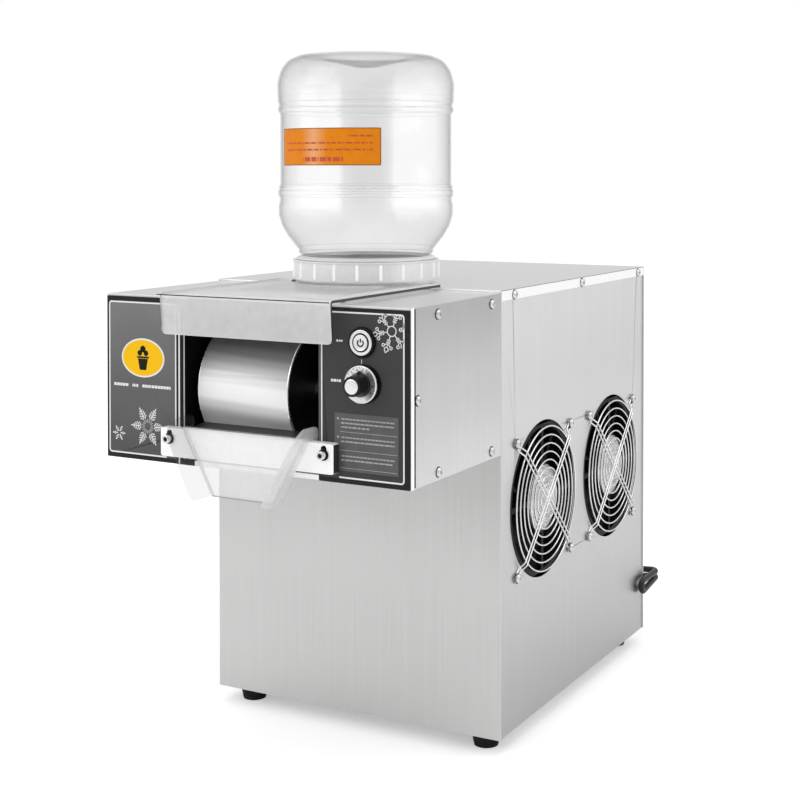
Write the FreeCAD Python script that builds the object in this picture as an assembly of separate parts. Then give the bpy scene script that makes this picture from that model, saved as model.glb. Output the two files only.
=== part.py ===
import FreeCAD, Part
import math
import os
from FreeCAD import Vector

# Countertop drum-type shaved ice machine, in millimetres.
# Origin: centre of the stiffening plate under the cabinet's floor, which is flush with the cabinet's
# lower edges. The front faces -Y, +Z is up, and the feet reach down below zero to the counter.
# A chilled drum turns in a head in front of the cabinet, a bottle on the roof feeds its trough,
# and a blade on the blade bar scrapes the frozen film into a clear chute.

# Driving dimensions
SHEET = 1.2
HALF_WIDTH = 132.2
DEPTH = 311.0
HEIGHT = 344.0
FOOT_HEIGHT = 12.5
HEAD_REACH = 139.0
HEAD_LIFT = 218.8
HEAD_DROP = 1.7
ROOF_FLANGE = 8.2
STIFFENER = 1.0

FRONT = -DEPTH / 2
REAR = DEPTH / 2
FLOOR = 0.0
COUNTER = FLOOR - FOOT_HEIGHT
PAN_LOW = FLOOR + STIFFENER
PAN_TOP = PAN_LOW + SHEET
ROOF = FLOOR + HEIGHT
HEAD_FRONT = FRONT - HEAD_REACH
HEAD_BOTTOM = FLOOR + HEAD_LIFT
HEAD_TOP = ROOF - HEAD_DROP
SIDE_OUTER = HALF_WIDTH - SHEET
SIDE_INNER = SIDE_OUTER - SHEET

OPENING_LEFT = -60.0
OPENING_RIGHT = 58.5
BADGE_EDGE = -64.3
SKIN = 1.0
FRAME_BACK = HEAD_FRONT + SKIN + SHEET
CHAMBER_BACK = FRONT - 20.0
LIP_HEIGHT = 4.0

DRUM_X = -12.0
DRUM_Y = FRONT - 86.0
DRUM_Z = FLOOR + 274.2
DRUM_RADIUS = 46.4
DRUM_LENGTH = 78.6
DRUM_WALL = 2.5
SHAFT_RADIUS = 8.0
RUNNING_GAP = 0.04
SHAFT_LEFT = -84.0
SHAFT_RIGHT = 74.0

GEAR_MODULE = 1.0
DRUM_TEETH = 72
PINION_TEETH = 20
GEAR_X = 63.4
GEAR_WIDTH = 8.0
BACKLASH = 0.16
GEAR_SPACING = GEAR_MODULE * (DRUM_TEETH + PINION_TEETH) / 2
MOTOR_Y = DRUM_Y + GEAR_SPACING
BRACKET_X = 76.0
PINION_SHAFT_RADIUS = 4.0

BAR_HALF = 75.0
BAR_THICK = 7.0
BAR_BOTTOM = FLOOR + 225.5
BAR_TOP = FLOOR + 246.6
BAR_FRONT = HEAD_FRONT - BAR_THICK
SLOT_X = 67.0
SLOT_RADIUS = 2.3
SLOT_LOW = FLOOR + 237.5
SLOT_HIGH = FLOOR + 243.0
BAR_SCREW_Z = FLOOR + 238.8
BAR_SCREW_HEAD = 3.6
BAR_WASHER = 4.0
BLADE_HALF = 51.8
BLADE_THICK = 2.6
BLADE_GAP = 0.4
BLADE_RISE = 2.4

CHUTE_WALL = 2.5
CHUTE_TOP_HALF = 53.0
CHUTE_FOOT_HALF = 27.0
CHUTE_TOP = FLOOR + 249.0
CHUTE_FOOT = FLOOR + 200.6
CHUTE_REACH_TOP = 26.0
CHUTE_REACH_FOOT = 29.0
HOOK_TOP = FLOOR + 256.0

VISOR_HALF = 75.7
VISOR_SHEET = 2.0
VISOR_LIP_Z = FLOOR + 314.8
VISOR_REACH = 11.8
VISOR_LEAN = 3.6
VISOR_LAP = 9.0
VISOR_NOTCH = 60.5

BUTTON_X, BUTTON_Z = 94.2, FLOOR + 317.4
KNOB_X, KNOB_Z = 94.8, FLOOR + 288.9
BARREL_RADIUS = 8.0
BUSH_RADIUS = 4.5

FAN_SIZE = 120.0
FAN_DEPTH = 25.0
FAN_PITCH = 105.0
FAN_Z = FLOOR + 170.0
FAN_YS = (FRONT + 82.0, FRONT + 228.5)
FAN_OPENING = 63.0
FAN_BACK = SIDE_INNER - FAN_DEPTH
FAN_HUB = 28.0
GUARD_WIRE = 0.7
GUARD_RINGS = (11.5, 18.0, 24.5, 31.0, 37.5, 44.2, 51.0, 58.0)
GUARD_STAND = 4.4
GUARD_SPREAD = 2.1

BOTTLE_Y = FRONT + 21.6
CAP_RADIUS = 58.9
CAP_HEIGHT = 19.3
CAP_BASE = ROOF + 0.2
CAP_FLOOR = CAP_BASE + 3.0
GASKET = 2.0
NECK_RADIUS = 52.0
BOTTLE_WALL = 1.2
BOTTLE_END = 528.2
SEAT_DEPTH = 40.0
VALVE_TRAVEL = 4.0
NOZZLE_END = CAP_BASE - 14.0
DISC_LOW = NOZZLE_END + 2.0 + VALVE_TRAVEL
DISC_TOP = DISC_LOW + 3.0
STEM_END = NOZZLE_END + VALVE_TRAVEL - 5.0
SPRING_TOP = CAP_FLOOR + 2.0
OUTLET_Y = BOTTLE_Y - 7.5
FEED_RADIUS = 5.5
FEED_BORE = 4.25
FEED_Z = FLOOR + 235.5
TROUGH_REAR = FRONT - 26.0

COMPRESSOR_X, COMPRESSOR_Y = -55.0, 70.0
COMPRESSOR_BASE = PAN_TOP + 9.0
COMPRESSOR_TOP = COMPRESSOR_BASE + 126.2
CONDENSER_X = (72.0, 100.0)
CONDENSER_LOW = FLOOR + 95.0
CONDENSER_TOP = FLOOR + 235.0
UNION_X = -104.0
CORD_X, CORD_Z = 112.0, FLOOR + 49.0
CORD_RADIUS = 2.9
PLUG_Z = COUNTER + 12.0

ALONG_X = Vector(1, 0, 0)
ALONG_Y = Vector(0, 1, 0)
ALONG_Z = Vector(0, 0, 1)


def block(x, y, z):
    """A box from its (low, high) pair along each axis."""
    return Part.makeBox(x[1] - x[0], y[1] - y[0], z[1] - z[0], Vector(x[0], y[0], z[0]))


def rod(base, radius, length, axis=ALONG_Z):
    return Part.makeCylinder(radius, length, Vector(*base), axis)


def ring(base, outer, inner, length, axis=ALONG_Z):
    return rod(base, outer, length, axis).cut(rod(base, inner, length, axis))


def turned(profile, base, axis=ALONG_Z):
    """A lathe part from (radius, height) points, standing on base along axis."""
    points = [Vector(r, 0, h) for r, h in profile]
    face = Part.Face(Part.makePolygon(points + points[:1]))
    solid = face.revolve(Vector(), ALONG_Z, 360)
    solid.Placement = FreeCAD.Placement(Vector(*base), FreeCAD.Rotation(ALONG_Z, axis))
    return solid


def joined(*solids):
    return solids[0].multiFuse(list(solids[1:])).removeSplitter()


def pipe(points, radius, bend):
    """A round bar along straight runs that are joined by bends of one radius."""
    corners = [Vector(*p) for p in points]
    edges = []
    start = corners[0]
    for before, corner, after in zip(corners, corners[1:], corners[2:]):
        arriving = (corner - before).normalize()
        leaving = (after - corner).normalize()
        half_turn = arriving.getAngle(leaving) / 2
        trim = bend * math.tan(half_turn)
        inward = (leaving - arriving).normalize()
        arc_start = corner - arriving * trim
        arc_end = corner + leaving * trim
        arc_middle = corner + inward * (bend / math.cos(half_turn) - bend)
        edges.append(Part.makeLine(start, arc_start))
        edges.append(Part.Arc(arc_start, arc_middle, arc_end).toShape())
        start = arc_end
    edges.append(Part.makeLine(start, corners[-1]))
    section = Part.Wire(Part.makeCircle(radius, corners[0], corners[1] - corners[0]))
    return Part.Wire(edges).makePipeShell([section], True, True)


def pan_screw(seat, outward, head_radius=3.4, head_height=2.2, shank_radius=1.6, length=7.0):
    """A screw whose head sits on seat and whose shank goes the other way from outward."""
    head = rod(seat, head_radius, head_height, outward)
    rim = [e for e in head.Edges if e.CenterOfMass.distanceToPoint(Vector(*seat)) > head_height * 0.9]
    head = head.makeFillet(head_height * 0.45, [e for e in rim if len(e.Vertexes) == 1])
    shank = rod(seat, shank_radius, length, -outward)
    return joined(head, shank)


def tray(x, y, z, wall):
    """An open-topped box of one sheet thickness."""
    outer = block(x, y, z)
    inner = block((x[0] + wall, x[1] - wall), (y[0] + wall, y[1] - wall), (z[0] + wall, z[1]))
    return outer.cut(inner)


def both_sides(make):
    """The same thing made for the left (-1) and right (+1) side."""
    return [make(side) for side in (-1, 1)]


def upright(side, inner, outer, y, z):
    return block(tuple(sorted((side * inner, side * outer))), y, z)


# Cabinet

def base_pan():
    """The cabinet's floor, with a stiffening plate welded under its middle, clear of the feet."""
    pan = tray((-SIDE_INNER, SIDE_INNER), (FRONT + SHEET, REAR - SHEET), (PAN_LOW, FLOOR + 16), SHEET)
    return joined(pan, block((-75, 75), (-115, 115), (FLOOR, PAN_LOW)))


def corner_flanges(y):
    z = (FLOOR + 17, ROOF - 12)
    return both_sides(lambda side: upright(side, SIDE_INNER - SHEET, SIDE_INNER, y, z))


def cabinet_front_panel():
    z = (FLOOR, ROOF - SHEET)
    plate = block((-HALF_WIDTH, HALF_WIDTH), (FRONT, FRONT + SHEET), z)
    pass_through = block((-125, 125), (FRONT - 1, FRONT + 2), (HEAD_BOTTOM + 10, HEAD_TOP - 12))
    return joined(plate.cut(pass_through), *corner_flanges((FRONT + SHEET, FRONT + 14)))


def side_panel(side):
    return upright(side, SIDE_INNER, SIDE_OUTER, (FRONT + SHEET, REAR - SHEET), (FLOOR, ROOF - SHEET))


def right_side_panel():
    cuts = [rod((SIDE_INNER - 1, y, FAN_Z), FAN_OPENING, SHEET + 2, ALONG_X) for y in FAN_YS]
    return side_panel(1).cut(Part.Compound(cuts))


def left_side_panel():
    slots = []
    for row in range(12):
        z = FLOOR + 110 + row * 10
        for y in (-75.0, 60.0):
            slots.append(block((-SIDE_OUTER - 1, -SIDE_INNER + 1), (y - 40, y + 40), (z, z + 4)))
    return side_panel(-1).cut(Part.Compound(slots))


def rear_panel():
    plate = block((-HALF_WIDTH, HALF_WIDTH), (REAR - SHEET, REAR), (FLOOR, ROOF - SHEET))
    slots = []
    for row in range(9):
        z = FLOOR + 190 + row * 12
        slots.append(block((-80, 80), (REAR - 3, REAR + 1), (z, z + 5)))
    cord_hole = rod((CORD_X, REAR - 3, CORD_Z), 6.0, 5, ALONG_Y)
    plate = plate.cut(Part.Compound(slots + [cord_hole]))
    return joined(plate, *corner_flanges((REAR - 14, REAR - SHEET)))


def top_cover():
    z = (ROOF - SHEET, ROOF)
    plate = block((-HALF_WIDTH, HALF_WIDTH), (FRONT, REAR), z)
    flange_z = (ROOF - ROOF_FLANGE, ROOF - SHEET)
    flanges = both_sides(lambda s: upright(s, SIDE_OUTER, HALF_WIDTH, (FRONT + SHEET, REAR - SHEET), flange_z))
    seat_hole = rod((0, BOTTLE_Y, ROOF - 3), 13.0, 5)
    return joined(plate, *flanges).cut(seat_hole)


# Head

def head_bottom_pan():
    y = (HEAD_FRONT + SKIN + SHEET, FRONT)
    plate = block((-SIDE_OUTER, SIDE_OUTER), y, (HEAD_BOTTOM, HEAD_BOTTOM + SHEET))
    z = (HEAD_BOTTOM + SHEET, HEAD_BOTTOM + 16)
    return joined(plate, *both_sides(lambda side: upright(side, SIDE_INNER, SIDE_OUTER, y, z)))


def head_top_plate():
    y = (HEAD_FRONT + SKIN + SHEET, FRONT)
    plate = block((-SIDE_OUTER, SIDE_OUTER), y, (HEAD_TOP - SHEET, HEAD_TOP))
    z = (HEAD_TOP - 16, HEAD_TOP - SHEET)
    return joined(plate, *both_sides(lambda side: upright(side, SIDE_INNER, SIDE_OUTER, y, z)))


def head_side(side):
    return upright(side, SIDE_OUTER, HALF_WIDTH, (HEAD_FRONT + 5.3, FRONT), (HEAD_BOTTOM, HEAD_TOP))


def head_front_frame():
    z = (HEAD_BOTTOM, HEAD_TOP)
    plate = block((-HALF_WIDTH, HALF_WIDTH), (HEAD_FRONT + SKIN, FRAME_BACK), z)
    opening = block((OPENING_LEFT, OPENING_RIGHT), (HEAD_FRONT, HEAD_FRONT + 5), (z[0] + LIP_HEIGHT, z[1] + 1))
    wraps = both_sides(lambda s: upright(s, SIDE_OUTER, HALF_WIDTH, (FRAME_BACK, HEAD_FRONT + 5), z))
    tab_z = (HEAD_BOTTOM + 16.5, HEAD_TOP - 16.5)
    tabs = both_sides(lambda s: upright(s, SIDE_INNER, SIDE_OUTER, (FRAME_BACK, HEAD_FRONT + 15), tab_z))
    return joined(plate.cut(opening), *wraps, *tabs)


def head_skin(x):
    """A thin black fascia on the head's front frame."""
    return block(x, (HEAD_FRONT, HEAD_FRONT + SKIN), (HEAD_BOTTOM, HEAD_TOP - 1.5))


def control_holes():
    """The holes that the power button's barrel and the potentiometer's bush go through."""
    button = rod((BUTTON_X, HEAD_FRONT - 1, BUTTON_Z), BARREL_RADIUS, 5, ALONG_Y)
    bush = rod((KNOB_X, HEAD_FRONT - 1, KNOB_Z), BUSH_RADIUS, 5, ALONG_Y)
    return Part.Compound([button, bush])


def control_panel():
    return head_skin((OPENING_RIGHT, HALF_WIDTH - 0.9))


def badge_panel():
    return head_skin((-HALF_WIDTH + 0.4, BADGE_EDGE))


def chamber_wall(x):
    z = (HEAD_BOTTOM + SHEET, HEAD_TOP - SHEET)
    wall = block(x, (FRAME_BACK, CHAMBER_BACK), z)
    return wall.cut(rod((x[0] - 1, DRUM_Y, DRUM_Z), 13.0, SHEET + 2, ALONG_X))


def chamber_back_wall():
    z = (HEAD_BOTTOM + SHEET, HEAD_TOP - SHEET)
    wall = block((OPENING_LEFT, OPENING_RIGHT), (CHAMBER_BACK - SHEET, CHAMBER_BACK), z)
    return wall.cut(rod((0, CHAMBER_BACK - 3, FEED_Z), FEED_RADIUS + 0.2, 6, ALONG_Y))


def visor():
    """A lid over the head, folded down in front into a lip that leans back, on two round pads."""
    z = (ROOF + 0.1, ROOF + 0.1 + VISOR_SHEET)
    front = HEAD_FRONT - VISOR_REACH
    rear = FRONT + VISOR_LAP
    foot = front + VISOR_LEAN
    fold = front + VISOR_SHEET + VISOR_LEAN * VISOR_SHEET / (z[1] - VISOR_LIP_Z)
    profile = [(rear, z[0]), (rear, z[1]), (front, z[1]), (foot, VISOR_LIP_Z),
               (foot + VISOR_SHEET, VISOR_LIP_Z), (fold, z[0])]
    corners = [Vector(-VISOR_HALF, y, height) for y, height in profile]
    sheet = Part.Face(Part.makePolygon(corners + corners[:1])).extrude(Vector(2 * VISOR_HALF, 0, 0))
    notch = rod((0, BOTTLE_Y, ROOF - 5), VISOR_NOTCH, 15)
    pads = [rod((side * 62, HEAD_FRONT + 20, HEAD_TOP), 5.0, z[0] - HEAD_TOP) for side in (-1, 1)]
    body = sheet.cut(notch)
    lip_corners = [e for e in body.Edges if is_lip_corner(e)]
    return joined(body.makeFillet(3.0, lip_corners), *pads)


def is_lip_corner(edge):
    """Is it one of the short edges through the sheet at the lip's two lower corners?"""
    centre = edge.CenterOfMass
    return abs(centre.z - VISOR_LIP_Z) < 0.01 and abs(abs(centre.x) - VISOR_HALF) < 0.01


# Blade bar and chute

def bar_slot(side):
    """A vertical slot with round ends through the bar."""
    y = BAR_FRONT - 1
    length = BAR_THICK + 2
    ends = [rod((side * SLOT_X, y, z), SLOT_RADIUS, length, ALONG_Y) for z in (SLOT_LOW, SLOT_HIGH)]
    x = (side * SLOT_X - SLOT_RADIUS, side * SLOT_X + SLOT_RADIUS)
    return joined(*ends, block(x, (y, y + length), (SLOT_LOW, SLOT_HIGH)))


def blade_bar():
    bar = block((-BAR_HALF, BAR_HALF), (BAR_FRONT, HEAD_FRONT), (BAR_BOTTOM, BAR_TOP))
    upright_edges = [e for e in bar.Edges if abs(e.tangentAt(e.FirstParameter).y) > 0.99]
    bar = bar.makeFillet(1.8, upright_edges)
    ledge_z = (BAR_TOP - BLADE_THICK - 4, BAR_TOP - BLADE_THICK)
    ledge = block((-BLADE_HALF, BLADE_HALF), (HEAD_FRONT - 2, HEAD_FRONT + 7.5), ledge_z)
    return joined(bar, ledge).cut(Part.Compound(both_sides(bar_slot)))


def drum_surface_y(z):
    return DRUM_Y - math.sqrt(DRUM_RADIUS ** 2 - (DRUM_Z - z) ** 2)


def scraper_blade():
    """A knife on the bar's ledge. Its top climbs to an edge, ground from below, that points at the drum."""
    low = BAR_TOP - BLADE_THICK
    tip = BAR_TOP + BLADE_RISE
    edge = drum_surface_y(tip) - BLADE_GAP
    outline = [(HEAD_FRONT, low), (HEAD_FRONT, BAR_TOP), (edge, tip), (edge - 4.5, low)]
    points = [Vector(-BLADE_HALF, y, z) for y, z in outline]
    return Part.Face(Part.makePolygon(points + points[:1])).extrude(Vector(2 * BLADE_HALF, 0, 0))


def blade_screws():
    """Cap screws with a hexagon socket, each over its own washer, through the bar's slots."""
    solids = []
    for side in (-1, 1):
        seat = (side * SLOT_X, BAR_FRONT - 1.1, BAR_SCREW_Z)
        head = rod(seat, BAR_SCREW_HEAD, 4, -ALONG_Y).cut(rod((seat[0], seat[1] - 4, seat[2]), 1.7, 2, ALONG_Y))
        solids.append(joined(head, rod(seat, 2.0, 17, ALONG_Y)))
        solids.append(ring((seat[0], seat[1] + 0.03, seat[2]), BAR_WASHER, 2.0, 1.0, ALONG_Y))
    return Part.Compound(solids)


def chute_wing(side):
    """The slanted side of the chute, with its upright hook over the bar."""
    drop = CHUTE_TOP - CHUTE_FOOT
    inward = CHUTE_TOP_HALF - CHUTE_FOOT_HALF
    y_back = BAR_FRONT - 0.1
    reach_top = HEAD_FRONT - CHUTE_REACH_TOP
    reach_foot = HEAD_FRONT - CHUTE_REACH_FOOT
    top = [(CHUTE_TOP_HALF, CHUTE_TOP), (CHUTE_TOP_HALF + CHUTE_WALL, CHUTE_TOP)]
    foot = [(CHUTE_FOOT_HALF + CHUTE_WALL, CHUTE_FOOT), (CHUTE_FOOT_HALF, CHUTE_FOOT)]
    points = [Vector(side * x, y_back, z) for x, z in top + foot]
    slab = Part.Face(Part.makePolygon(points + points[:1])).extrude(Vector(0, reach_foot - y_back, 0))
    slant = [(reach_top, CHUTE_TOP), (reach_foot, CHUTE_FOOT), (reach_foot - 1, CHUTE_FOOT - 1)]
    slant.append((reach_foot - 1, CHUTE_TOP + 1))
    edge = [Vector(-80, y, z) for y, z in slant]
    trimmed = slab.cut(Part.Face(Part.makePolygon(edge + edge[:1])).extrude(Vector(160, 0, 0)))
    x = tuple(sorted((side * CHUTE_TOP_HALF, side * (CHUTE_TOP_HALF + CHUTE_WALL))))
    cheek = block(x, (reach_top, y_back), (CHUTE_TOP - 0.5, HOOK_TOP))
    far_edge = [e for e in cheek.Edges if is_hook_corner(e, reach_top)]
    cheek = cheek.makeFillet(HOOK_TOP - CHUTE_TOP - 0.2, far_edge)
    hook = block(x, (y_back - 2, HEAD_FRONT + 1), (BAR_TOP + 0.05, HOOK_TOP))
    tail = block(x, (HEAD_FRONT + 0.3, HEAD_FRONT + 4), (BAR_TOP - 6, HOOK_TOP))
    tail_top = [e for e in tail.Edges if is_hook_corner(e, HEAD_FRONT + 4)]
    return joined(trimmed, cheek, hook, tail.makeFillet(3.0, tail_top))


def is_hook_corner(edge, y):
    centre = edge.CenterOfMass
    return abs(centre.y - y) < 0.01 and abs(centre.z - HOOK_TOP) < 0.01


def ice_chute():
    y_back = BAR_FRONT - 0.1
    top = [(-CHUTE_TOP_HALF - 1, CHUTE_TOP), (CHUTE_TOP_HALF + 1, CHUTE_TOP)]
    foot = [(CHUTE_FOOT_HALF + 1, CHUTE_FOOT), (-CHUTE_FOOT_HALF - 1, CHUTE_FOOT)]
    points = [Vector(x, y_back, z) for x, z in top + foot]
    back = Part.Face(Part.makePolygon(points + points[:1])).extrude(Vector(0, -CHUTE_WALL, 0))
    return joined(back, *both_sides(chute_wing))


# Drum and its drive

def drum_shell():
    return ring((DRUM_X - DRUM_LENGTH / 2, DRUM_Y, DRUM_Z), DRUM_RADIUS, DRUM_RADIUS - DRUM_WALL,
                DRUM_LENGTH, ALONG_X)


def drum_end(side):
    inset = 1.0
    thick = 5.0
    outer_face = DRUM_X + side * (DRUM_LENGTH / 2 - inset)
    start = outer_face - thick if side > 0 else outer_face
    return ring((start, DRUM_Y, DRUM_Z), DRUM_RADIUS - DRUM_WALL, SHAFT_RADIUS, thick, ALONG_X)


def drum_shaft():
    """Hollow, because refrigerant reaches the drum through it."""
    base = (SHAFT_LEFT, DRUM_Y, DRUM_Z)
    bar = rod(base, SHAFT_RADIUS, SHAFT_RIGHT - SHAFT_LEFT, ALONG_X)
    return bar.cut(rod(base, 4.5, DRUM_X - SHAFT_LEFT, ALONG_X))


def flange_bearing(x, side, flange_thick, nose):
    """A flanged bearing on the outer face of a chamber wall. Side says which way is out."""
    axis = ALONG_X * side
    bore = SHAFT_RADIUS + RUNNING_GAP
    profile = [(bore, -nose), (13.0, -nose), (13.0, 0), (18.0, 0), (18.0, flange_thick), (bore, flange_thick)]
    return turned(profile, (x, DRUM_Y, DRUM_Z), axis)


def drum_bearings():
    left = flange_bearing(OPENING_LEFT - SHEET, -1, 8.0, 4.5)
    right = flange_bearing(OPENING_RIGHT + SHEET, 1, 3.0, 4.5)
    return Part.Compound([left, right])


def rotary_union():
    """The fixed seal block that passes refrigerant into the turning shaft."""
    bore_end = SHAFT_LEFT - 0.5
    body = rod((UNION_X, DRUM_Y, DRUM_Z), 13.0, 26, ALONG_X)
    yoke = block((-84, -78), (DRUM_Y - 26, DRUM_Y + 26), (DRUM_Z - 6, DRUM_Z + 6))
    arms = []
    for side in (-1, 1):
        y = sorted((DRUM_Y + side * 20, DRUM_Y + side * 26))
        arms.append(block((-84, OPENING_LEFT - SHEET), y, (DRUM_Z - 6, DRUM_Z + 6)))
    bore = rod((bore_end, DRUM_Y, DRUM_Z), SHAFT_RADIUS + RUNNING_GAP, 20, ALONG_X)
    return joined(body, yoke, *arms).cut(bore)


def involute_point(base_radius, angle):
    x = base_radius * (math.cos(angle) + angle * math.sin(angle))
    y = base_radius * (math.sin(angle) - angle * math.cos(angle))
    return x, y


def gear_outline(teeth, turn):
    """The outline of an involute gear with 20 degree teeth, thinned for backlash."""
    pitch = GEAR_MODULE * teeth / 2
    base = pitch * math.cos(math.radians(20))
    tip = pitch + 0.95 * GEAR_MODULE
    root = pitch - 1.25 * GEAR_MODULE
    flank_start = max(base, root)
    roll_at_pitch = math.tan(math.radians(20)) - math.radians(20)
    half_tooth = math.pi / (2 * teeth) - BACKLASH / (2 * pitch) + roll_at_pitch
    rolls = []
    for step in range(6):
        radius = flank_start + (tip - flank_start) * step / 5
        rolls.append(math.sqrt(max(0.0, (radius / base) ** 2 - 1)))
    flank = []
    for roll in rolls:
        x, y = involute_point(base, roll)
        flank.append((math.hypot(x, y), math.atan2(y, x) - half_tooth))
    one_tooth = [(root, flank[0][1])] + flank + [(r, -a) for r, a in reversed(flank)] + [(root, -flank[0][1])]
    points = []
    for tooth in range(teeth):
        centre = turn + 2 * math.pi * tooth / teeth
        points += [(r * math.cos(a + centre), r * math.sin(a + centre)) for r, a in one_tooth]
    return points


def gear(teeth, turn, y, bore, hub):
    """A spur gear on an axis along X through y, with a hub on its right face."""
    points = [Vector(GEAR_X, y + u, DRUM_Z + v) for u, v in gear_outline(teeth, turn)]
    teeth_body = Part.Face(Part.makePolygon(points + points[:1])).extrude(Vector(GEAR_WIDTH, 0, 0))
    hub_body = rod((GEAR_X + GEAR_WIDTH - 1, y, DRUM_Z), hub, 3.0, ALONG_X)
    solid = joined(teeth_body, hub_body)
    return solid.cut(rod((GEAR_X - 1, y, DRUM_Z), bore, 20, ALONG_X)) if bore else solid


def drum_gear():
    lightening = []
    for hole in range(6):
        angle = math.radians(30 + 60 * hole)
        y = DRUM_Y + 23 * math.cos(angle)
        z = DRUM_Z + 23 * math.sin(angle)
        lightening.append(rod((GEAR_X - 1, y, z), 6.5, 20, ALONG_X))
    return gear(DRUM_TEETH, 0.0, DRUM_Y, SHAFT_RADIUS, 13.0).cut(Part.Compound(lightening))


def motor_pinion():
    """The pinion's gap faces the drum gear's tooth, so it is turned by half a tooth."""
    facing = math.pi + math.pi / PINION_TEETH
    shaft = rod((GEAR_X - 1, MOTOR_Y, DRUM_Z), PINION_SHAFT_RADIUS, 23, ALONG_X)
    return joined(gear(PINION_TEETH, facing, MOTOR_Y, 0, 6.0), shaft)


def gear_motor():
    gearbox_x = BRACKET_X + 1.5
    gearbox = rod((gearbox_x, MOTOR_Y, DRUM_Z), 25.0, 20, ALONG_X)
    can = rod((gearbox_x + 20, MOTOR_Y, DRUM_Z), 20.0, 28, ALONG_X)
    bore = rod((gearbox_x - 1, MOTOR_Y, DRUM_Z), PINION_SHAFT_RADIUS + RUNNING_GAP, 9.5, ALONG_X)
    return joined(gearbox, can).cut(bore)


def motor_bracket():
    wall = OPENING_RIGHT + SHEET
    half = 28.0
    y = (MOTOR_Y - half, MOTOR_Y + half)
    z = (DRUM_Z - half, DRUM_Z + half)
    window = rod((BRACKET_X - 1, MOTOR_Y, DRUM_Z), 12.0, 4, ALONG_X)
    face = block((BRACKET_X, BRACKET_X + 1.5), y, z).cut(window)
    # The legs keep to the side away from the big gear.
    leg_y = (MOTOR_Y, MOTOR_Y + half)
    legs = [block((wall, BRACKET_X), leg_y, (level, level + 1.5)) for level in (z[0], z[1] - 1.5)]
    return joined(face, *legs)


# Water path

def water_trough():
    y = (FRONT - 121.0, TROUGH_REAR)
    base = HEAD_BOTTOM + SHEET + 0.3
    body = tray((-57.0, 55.0), y, (base, FLOOR + 244.0), 2.0)
    front_cut = block((-60, 60), (y[0] - 1, y[0] + 10), (FLOOR + 238.0, ROOF))
    inlet = rod((0, TROUGH_REAR - 5, FEED_Z), FEED_BORE, 8, ALONG_Y)
    return body.cut(Part.Compound([front_cut, inlet]))


def feed_tube():
    start = ROOF - SHEET - SEAT_DEPTH
    path = [(0, OUTLET_Y, start), (0, OUTLET_Y, FEED_Z), (0, TROUGH_REAR, FEED_Z)]
    return pipe(path, FEED_RADIUS, 9).cut(pipe(path, FEED_BORE, 9))


def bottle_seat():
    """A cup under the roof, with the pin that opens the cap's valve and an outlet to the feed tube."""
    top = ROOF - SHEET
    cup = turned([(0, -SEAT_DEPTH), (17.5, -SEAT_DEPTH), (17.5, -1.5), (20, -1.5), (20, 0), (15, 0),
                  (15, 2.5 - SEAT_DEPTH), (0, 2.5 - SEAT_DEPTH)], (0, BOTTLE_Y, top))
    outlet = rod((0, OUTLET_Y, top - SEAT_DEPTH - 1), 3.0, 5)
    pin = rod((0, BOTTLE_Y, top - SEAT_DEPTH), 1.5, STEM_END - 0.05 - (top - SEAT_DEPTH))
    return joined(cup.cut(outlet), pin)


def bottle_cap():
    """A wide screw cap, mouth up, with a valve nozzle under it and an arch that holds the spring."""
    profile = [(8.5, 2.0 - 14.0), (8.5, 3.0), (NECK_RADIUS + 1, 3.0), (NECK_RADIUS + 1, CAP_HEIGHT),
               (CAP_RADIUS, CAP_HEIGHT), (CAP_RADIUS, 4.0), (54.0, 0), (11.0, 0), (11.0, -14.0),
               (4.0, -14.0), (4.0, -12.0)]
    cup = turned(profile, (0, BOTTLE_Y, CAP_BASE))
    arch = block((-11, 11), (BOTTLE_Y - 2, BOTTLE_Y + 2), (CAP_FLOOR, SPRING_TOP + 2.5))
    tunnel = block((-8, 8), (BOTTLE_Y - 3, BOTTLE_Y + 3), (CAP_FLOOR - 1, SPRING_TOP))
    guide = rod((0, BOTTLE_Y, SPRING_TOP - 1), 2.2, 5)
    return joined(cup, arch.cut(tunnel)).cut(guide)


def cap_gasket():
    return ring((0, BOTTLE_Y, CAP_FLOOR), NECK_RADIUS, 46.0, GASKET)


def valve_plunger():
    profile = [(0, STEM_END), (2.5, STEM_END), (2.5, DISC_LOW), (7.5, DISC_LOW), (7.5, DISC_TOP),
               (1.8, DISC_TOP), (1.8, SPRING_TOP + 5), (0, SPRING_TOP + 5)]
    return turned(profile, (0, BOTTLE_Y, 0))


def valve_spring():
    """An open coil of four turns, swept along a smooth curve through points on its helix."""
    wire, radius, turns, steps = 0.5, 5.0, 4, 12
    low = DISC_TOP + wire + 0.05
    high = SPRING_TOP - wire - 0.05
    points = []
    for step in range(turns * steps + 1):
        angle = 2 * math.pi * step / steps
        rise = (high - low) * step / (turns * steps)
        points.append(Vector(radius * math.cos(angle), BOTTLE_Y + radius * math.sin(angle), low + rise))
    curve = Part.BSplineCurve()
    curve.interpolate(points)
    section = Part.Wire(Part.makeCircle(wire, points[0], curve.tangent(curve.FirstParameter)[0]))
    return Part.Wire(curve.toShape()).makePipeShell([section], True, True)


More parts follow.
